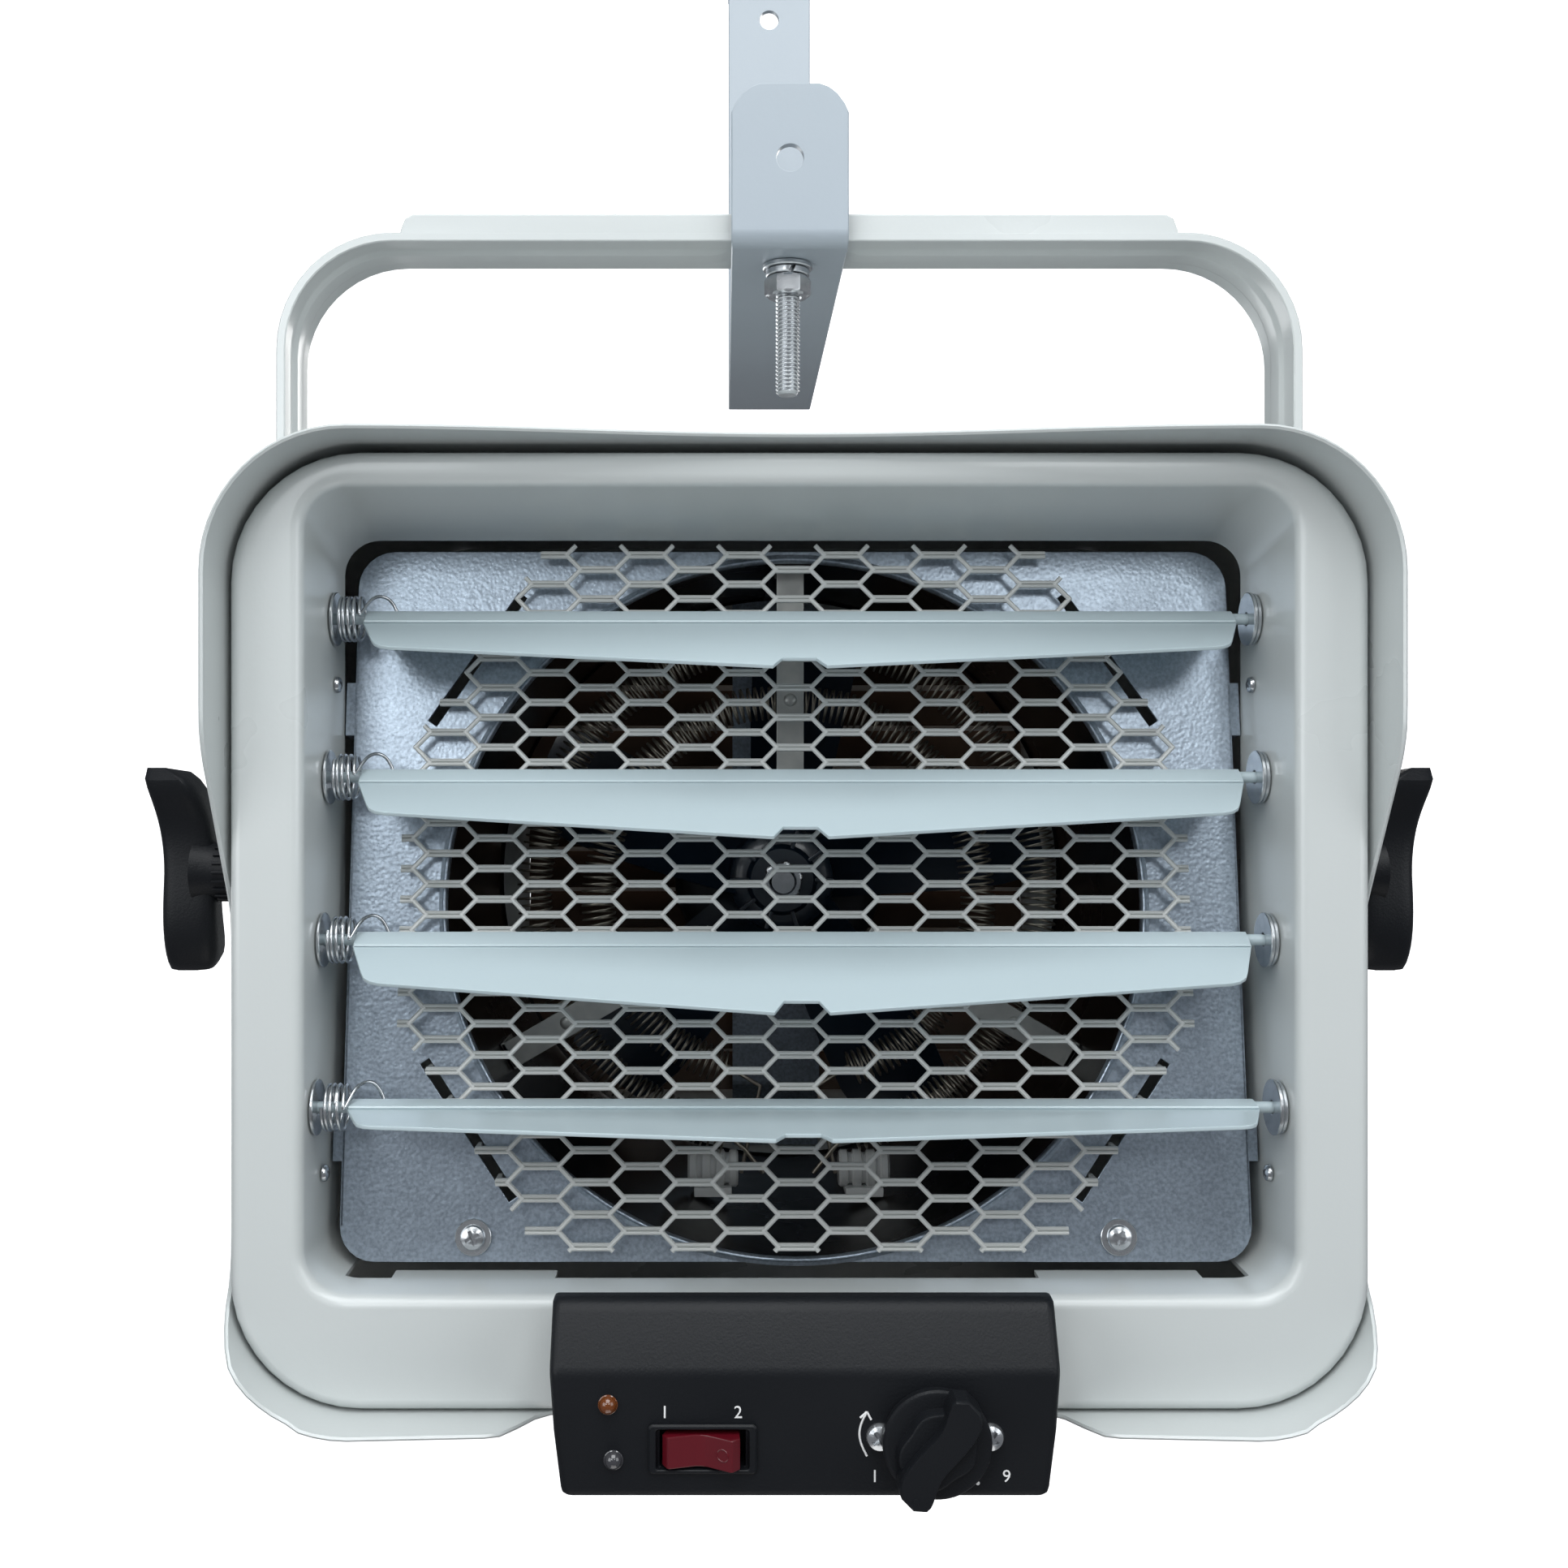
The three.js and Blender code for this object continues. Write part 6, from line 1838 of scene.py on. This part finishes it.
@dataclass
class Hanger:
    """The bent ceiling bracket and the bolt, washers and nut that hold the handle."""

    width: float = 36.4
    thick: float = 3.0
    bend: float = 5.0
    foot: float = 0.062
    lip: float = 0.05
    front: float = field(init=False)
    back: float = field(init=False)
    under: float = field(init=False)
    top: float = field(init=False)
    riser: float = field(init=False)
    bolt: Vector = field(init=False)

    def __post_init__(self) -> None:
        """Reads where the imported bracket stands."""
        low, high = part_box("hanger_bracket")
        self.front, self.back = low.y, high.y
        self.under, self.top = low.z, high.z
        self.riser = self.back - self.foot
        self.bolt = case_point(0, TILT_AXIS[0], 0)

    def build(self) -> None:
        """Makes the bracket and its fastening."""
        self._bracket()
        self._bolt()
        self._rings()

    def _line(self) -> list[tuple[float, float, float, float]]:
        """The strip's outer line with its bends, from the lip's top to the foot's end.

        Returns:
            Each point's y and z, and the y and z of the direction to the strip's outer face.
        """
        half, bend = self.thick * MM / 2, (self.bend - self.thick / 2) * MM
        lip, floor = self.front + half, self.under + half
        riser, roof = self.riser - half, self.top - half
        points = [(lip, self.under + self.lip, -1.0, 0.0), (lip, self.under + 0.04, -1.0, 0.0),
                  (lip, self.under + 0.02, -1.0, 0.0)]
        for cy, cz, start in ((lip + bend, floor + bend, pi),
                              (riser - bend, floor + bend, 1.5 * pi)):
            for step in range(7):
                angle = start + step * pi / 12
                points.append((cy + bend * cos(angle), cz + bend * sin(angle), cos(angle),
                               sin(angle)))
        for step in range(7):
            angle = pi - step * pi / 12
            points.append((riser + bend - bend * cos(pi - angle), roof - bend + bend * sin(angle),
                           cos(pi - angle), -sin(angle)))
        points.append((self.back, roof, 0.0, -1.0))
        return points

    def _bracket(self) -> None:
        """The strip with its cut corners and its five holes."""
        side = self.width / 2
        half = self.thick / 2
        section = [(-side, -half + 0.35), (-side + 0.35, -half), (side - 0.35, -half),
                   (side, -half + 0.35), (side, half - 0.35), (side - 0.35, half),
                   (-side + 0.35, half), (-side, half - 0.35)]
        rings = [[Vector((x * MM, y + ny * out * MM, z + nz * out * MM)) for x, out in section]
                 for y, z, ny, nz in self._line()]
        strip = sweep("bracket", rings, caps=True)
        cutters = []
        lip_top = self.under + self.lip
        for turn in (-1, 1):
            corner = [(side, -9.0), (side - 1.2, -6.2), (side - 3.6, -3.0), (side - 6.2, -1.0),
                      (side - 9.0, 0.0), (side - 9.0, 2.0), (side + 2.0, 2.0), (side + 2.0, -9.0)]
            cutters.append(sweep("corner",
                                 [[Vector((turn * x * MM, y, lip_top + z * MM)) for x, z in corner]
                                  for y in (self.front - 0.002, self.front + 0.006)], caps=True))
        cutters.append(self._hole(Vector((0, self.front, self.under + 0.027)), INTO))
        cutters.append(self._hole(Vector((0, self.riser, self.under + 0.175)), INTO))
        cutters.append(self._hole(Vector((0, self.bolt.y, self.under)), UP))
        for shift in (-0.015, 0.015):
            cutters.append(self._hole(Vector((0, self.riser + 0.031 + shift, self.top)), UP))
        bracket = bevel(cut(strip, *cutters), 0.25 * MM, 2, 60)
        dress(bracket, BRACKET_PAINT, "hanger", "hanger_bracket", angle=40)

    def _hole(self, middle: Vector, axis: Vector) -> Piece:
        """A cutter for an 8.5 mm hole."""
        return turned("hole", [(M8_BORE, -5.0), (M8_BORE, 5.0)], middle, axis, 40)

    def _bolt(self) -> None:
        """An M8 bolt: a hexagon head above the handle and a real thread below the nut."""
        low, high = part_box("hanger_bolt")
        head_low = high.z - 5.3 * MM
        head = hex_nut("head", Vector((0, self.bolt.y, head_low)), UP, M8_FLATS, 5.2, 2.0, 20.0)
        cap = turned("cap", [(TIP, 4.9), (3.0, 4.9), (3.0, 0.4), (TIP, 0.4)],
                     Vector((0, self.bolt.y, head_low)), UP, 24)
        count, pitch = 28, 1.25
        length = (head_low - low.z) / MM
        levels = int(length / pitch * 8)
        rings = []
        for level in range(levels + 1):
            along = length * level / levels
            ring = []
            for i in range(count):
                phase = (along / pitch - i / count) % 1.0
                depth = 0.62 * (1 - min(1.0, 1.15 * abs(2 * phase - 1)))
                if along > length - 14:
                    depth = 0.0
                radius = min(3.88 - depth, 2.9 + along * 1.1)
                angle = tau * i / count
                x, y = radius * cos(angle) * MM, self.bolt.y + radius * sin(angle) * MM
                ring.append(Vector((x, y, low.z + along * MM)))
            rings.append(ring)
        shank = sweep("shank", rings, caps=True)
        dress(join("bolt", [shank, head, cap]), ZINC, "hanger", "hanger_bolt", angle=50)

    def _rings(self) -> None:
        """The flat washer, the split washer and the nut below the shelf."""
        for node, outer in (("hanger_flat_washer", 8.0), ("hanger_lock_washer", 7.0)):
            low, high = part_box(node)
            ring = washer(f"{node}_look", outer, 4.2, (high.z - low.z) / MM,
                          Vector((0, self.bolt.y, low.z)), UP, 0.3, 56)
            if outer < 8:
                gap = block("gap", Vector((-0.0007, -0.009, -0.002)), Vector((0.0007, 0.0, 0.004)))
                turn_about(gap, ORIGIN, "Y", radians(24))
                gap.data.transform(Matrix.Translation(Vector((0.0008, self.bolt.y, low.z))))
                ring = cut(ring, gap)
            dress(ring, ZINC, "hanger", node)
        low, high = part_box("hanger_nut")
        nut = hex_nut("hanger_nut_look", Vector((0, self.bolt.y, low.z)), UP, M8_FLATS,
                      (high.z - low.z) / MM, 4.0, 30.0)
        dress(nut, ZINC, "hanger", "hanger_nut")


# ---------------------------------------------------------------- controls


@dataclass
class Controls:
    """The black panel with its switch, lights, thermostat dial and printed marks."""

    front: float = -11.0
    dial: Pair = (32.8, -126.0)
    switch: Pair = (-26.0, -129.0)
    levels: Rows = (
        (-94.0, 63.8, 0.4), (-94.3, 64.6, -1.2), (-95.2, 65.0, -2.8), (-97.0, 65.0, -4.1),
        (-103.0, 65.0, -7.35), (-108.6, 65.0, -10.4), (-110.2, 65.0, -10.9), (-111.6, 64.95, -11.0),
        (-125.0, 64.0, -11.0), (-139.4, 62.2, -11.0), (-140.8, 61.9, -10.6), (-141.5, 61.4, -9.8),
        (-141.7, 60.5, -8.8))

    def build(self) -> None:
        """Makes the panel and everything on it."""
        self._housing()
        self._switch()
        self._rocker()
        self._dial()
        self._lights()
        self._marks()
        for side, node in ((-1, "dial_screw_left"), (1, "dial_screw_right")):
            seat = case_point(self.dial[0] + side * 14.0, self.front - 0.1, self.dial[1])
            screw = pan_screw(f"{node}_look", seat, INTO, 3.5, 2.2, 0.0, 35.0 * side)
            dress(screw, ZINC, "heater", node)
        refinish(GALVANISED, "thermostat_body")

    def _housing(self) -> None:
        """The moulded housing: a face that slopes back above a soft crease, with rounded edges."""
        rings = []
        for z, half, front in self.levels:
            back, corner, arc = 17.4, 2.4, 6
            ring = [case_point(half, back, z), case_point(-half, back, z)]
            for side, start in ((-1, pi), (1, 1.5 * pi)):
                for step in range(arc + 1):
                    angle = start + step * pi / 2 / arc
                    ring.append(case_point(side * (half - corner) + corner * cos(angle),
                                           front + corner + corner * sin(angle), z))
            rings.append(ring)
        housing = sweep("panel", rings, caps=True)
        wedge = sweep("wedge",
                      [[case_point(x, y, z) for y, z in ((3.0, -90.0), (19.0, -90.0),
                                                         (19.0, -101.6), (3.0, -94.6))]
                       for x in (-70.0, 70.0)], caps=True)
        x, z = self.switch
        opening = block("opening", case_point(x - 12.4, -13, z - 5.2),
                        case_point(x + 12.4, 9, z + 5.2))
        dress(cut(housing, opening, wedge), BLACK_PLASTIC, "heater", "control_panel", angle=30)

    def _switch(self) -> None:
        """The switch's frame: a raised rim round a well."""
        x, z = self.switch
        y = self.front - 0.1

        def ring(wide: float, tall: float, depth: float, corner: float) -> Ring:
            """A rounded rectangle round the switch's middle."""
            points = rounded(-wide, wide, -tall, tall, corner, 5, 4)
            return [case_point(x + a, depth, z + b) for a, b in points]
        rings = [ring(13.75, 6.25, y, 1.2), ring(13.75, 6.25, y - 0.7, 1.2),
                 ring(13.3, 5.8, y - 1.15, 1.0), ring(12.4, 5.3, y - 1.2, 0.8),
                 ring(11.9, 5.1, y - 1.0, 0.8), ring(11.4, 5.0, y + 0.2, 0.7),
                 ring(10.9, 4.8, y + 0.5, 0.5), ring(10.9, 4.8, y + 9.0, 0.5),
                 ring(12.2, 5.0, y + 9.2, 0.5), ring(12.2, 5.0, y + 0.4, 0.5)]
        frame_piece = sweep("switch_rim", rings, closed=True)
        floor = block("floor", case_point(x - 12.1, y + 9.0, z - 4.9),
                      case_point(x + 12.1, y + 17.5, z + 4.9), 0.5)
        dress(join("switch_frame", [frame_piece, floor]), BLACK_PLASTIC, "heater", "switch_housing",
              angle=35)

    def _rocker(self) -> None:
        """The rocker: two slopes that meet in a valley, with a ring on the raised one."""
        x, z = self.switch
        pivot = case_point(x, self.front + 0.9, z)
        slope = [(9.9, -2.6), (8.6, -4.5), (8.0, -4.8), (5.0, -3.5), (1.6, -2.1)]
        profile = [(-a, b) for a, b in slope] + [(0.0, -1.9)] + slope[::-1]
        profile += [(9.2, 3.0), (5.0, 5.0), (-5.0, 5.0), (-9.2, 3.0)]
        rings = []
        for height, inset in ((-4.4, 0.5), (-4.25, 0.15), (-3.9, 0.0), (3.3, 0.0), (3.65, 0.15),
                              (3.8, 0.5)):
            rings.append([pivot + Vector((a * (1 - inset / 10), b + (inset if b < 0 else -inset),
                                          height)) * MM for a, b in profile])
        rocker = sweep("rocker", rings, caps=True)
        mark = [pivot + Vector((5.6 + 1.5 * cos(i * pi / 12), -3.76 - 0.65 * cos(i * pi / 12),
                                1.5 * sin(i * pi / 12) - 0.4)) * MM for i in range(24)]
        rocker = join("rocker", [rocker, wire("ring", mark, 0.2 * MM, 1, closed=True)])
        turn_about(rocker, pivot, "Z", -radians(8))
        dress(rocker, RED_PLASTIC, "rocker", "heat_rocker", angle=32)

    def _dial(self) -> None:
        """The dial: a skirt, a raised round body and a pointer across it that overhangs below."""
        x, z = self.dial
        centre = case_point(x, self.front, z)
        skirt = turned("skirt", [(TIP, -6.2), (12.3, -6.2), (13.2, -6.0), (13.7, -5.4),
                                 (13.7, -3.1), (13.5, -2.8), (11.0, -2.8), (10.6, -3.6),
                                 (TIP, -3.6)], centre, INTO, 72)
        stem = turned("stem", [(TIP, -4.0), (3.0, -4.0), (3.0, 9.2), (TIP, 9.4)], centre, INTO, 24)
        lobes = []
        for step in range(48):
            angle = tau * step / 48
            radius = 9.6 + 1.1 * cos(2 * (angle - radians(70))) + 0.45 * cos(5 * angle)
            lobes.append((radius * cos(angle), radius * sin(angle)))
        body = sweep("body", [[centre + Vector((a * scale, depth, b * scale)) * MM for a,
                               b in lobes] for depth, scale in ((-5.9, 1.04), (-8.9, 1.0),
                                                                (-9.5, 0.97), (-9.8, 0.9))],
                     caps=True)
        line = []
        half = 15.5
        for step in range(25):
            share = step / 12 - 1
            width = 5.5 * 0.77 * sqrt(max(0.0, 1 - share ** 6)) * (1 - 0.3 * cos(pi * share))
            line.append((share, width * 1.02 + 1.35 * exp(-(share / 0.42) ** 2)))
        edge = [(w + 1.6 * sin(pi * s), s * half) for s, w in line]
        edge += [(-w + 1.6 * sin(pi * s), s * half) for s, w in line[-2:0:-1]]
        rings = []
        for depth, inset in ((-5.8, 0.0), (-11.9, 0.35), (-12.6, 0.6), (-13.0, 1.1)):
            rings.append([centre + Vector((a * (1 - inset / 9), depth, b * (1 - inset / 18))) * MM
                          for a, b in edge])
        pointer = sweep("pointer", rings, caps=True)
        pip = turned("pip", [(TIP, -13.12), (0.75, -13.08), (0.85, -12.9), (TIP, -12.7)],
                     centre + Vector((-0.7, 0, -12.6)) * MM, INTO, 16)
        dial = join("dial", [skirt, stem, body, pointer, pip])
        turn_about(dial, centre, "Y", radians(27))
        dress(dial, BLACK_PLASTIC, "dial", "thermostat_dial", angle=34)

    def _lights(self) -> None:
        """Two small domed lenses, each with a collar."""
        for node, finish in (("power_light", AMBER_LENS), ("alarm_light", DARK_LENS)):
            low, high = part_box(node)
            seat = Vector(((low.x + high.x) / 2, low.y, (low.z + high.z) / 2))
            lens = turned(f"{node}_lens", [(TIP, 0.0), (0.8, 0.12), (1.5, 0.5), (2.05, 1.15),
                                           (2.3, 1.9), (2.3, 2.1), (2.5, 2.2),
                                           (2.5, (high.y - low.y) / MM),
                                           (TIP, (high.y - low.y) / MM)], seat, INTO, 32)
            dress(lens, finish, "heater", node, angle=30)

    def _marks(self) -> None:
        """Plain marks: a turning arrow, two end dots, and numbers by the switch and dial."""
        y = self.front - 0.02
        arc = [case_point(15.6 - 1.9 * sin(pi * i / 14), y, -131.0 + 11.2 * i / 14)
               for i in range(15)]
        pieces = [wire("arc", arc, 0.3 * MM, 1)]
        tip = arc[-1]
        for dx, dz in ((-1.7, -1.5), (1.1, -2.0)):
            pieces.append(wire("head", [tip, tip + Vector((dx, 0, dz)) * MM], 0.3 * MM, 1))
        for x in (24.0, 43.7):
            pieces.append(turned("dot", [(TIP, 0.0), (0.5, 0.0), (0.5, 0.1), (TIP, 0.1)],
                                 case_point(x, y - 0.05, -137.9), INTO, 16))
        for text, x, z, size in (("1", 17.6, -137.6, 3.2), ("9", 51.0, -137.6, 3.2),
                                 ("1", -35.6, -121.4, 3.2), ("2", -17.0, -121.4, 3.2)):
            pieces.append(self._number(text, case_point(x, y, z), size))
        marks = join("marks", pieces)
        dress(marks, PRINT_WHITE, "heater", angle=60)

    def _number(self, text: str, place: Vector, size: float) -> Piece:
        """A flat number that faces the viewer, its height in millimetres.

        Args:
            text: the number.
            place: where its foot stands.
            size: its height.

        Returns:
            The number as a mesh.
        """
        deselect()
        bpy.ops.object.text_add(location=place, rotation=(pi / 2, 0, 0))
        number = bpy.context.object
        number.data.body = text
        number.data.size = size * 1.4 * MM
        number.data.align_x = "CENTER"
        number.data.extrude = 0.04 * MM
        number.data.resolution_u = 3
        bpy.ops.object.convert(target="MESH")
        return settle(bpy.context.object)


def main() -> None:
    """Builds the looks."""
    logging.basicConfig(level=logging.INFO, format="%(message)s")
    Studio().build()
    Casing().build()
    Bulkhead().build()
    HeatingUnit().build()
    FanUnit().build()
    Louvers().build()
    Handle().build()
    Knobs().build()
    Hanger().build()
    Controls().build()


if __name__ == "__main__":
    main()
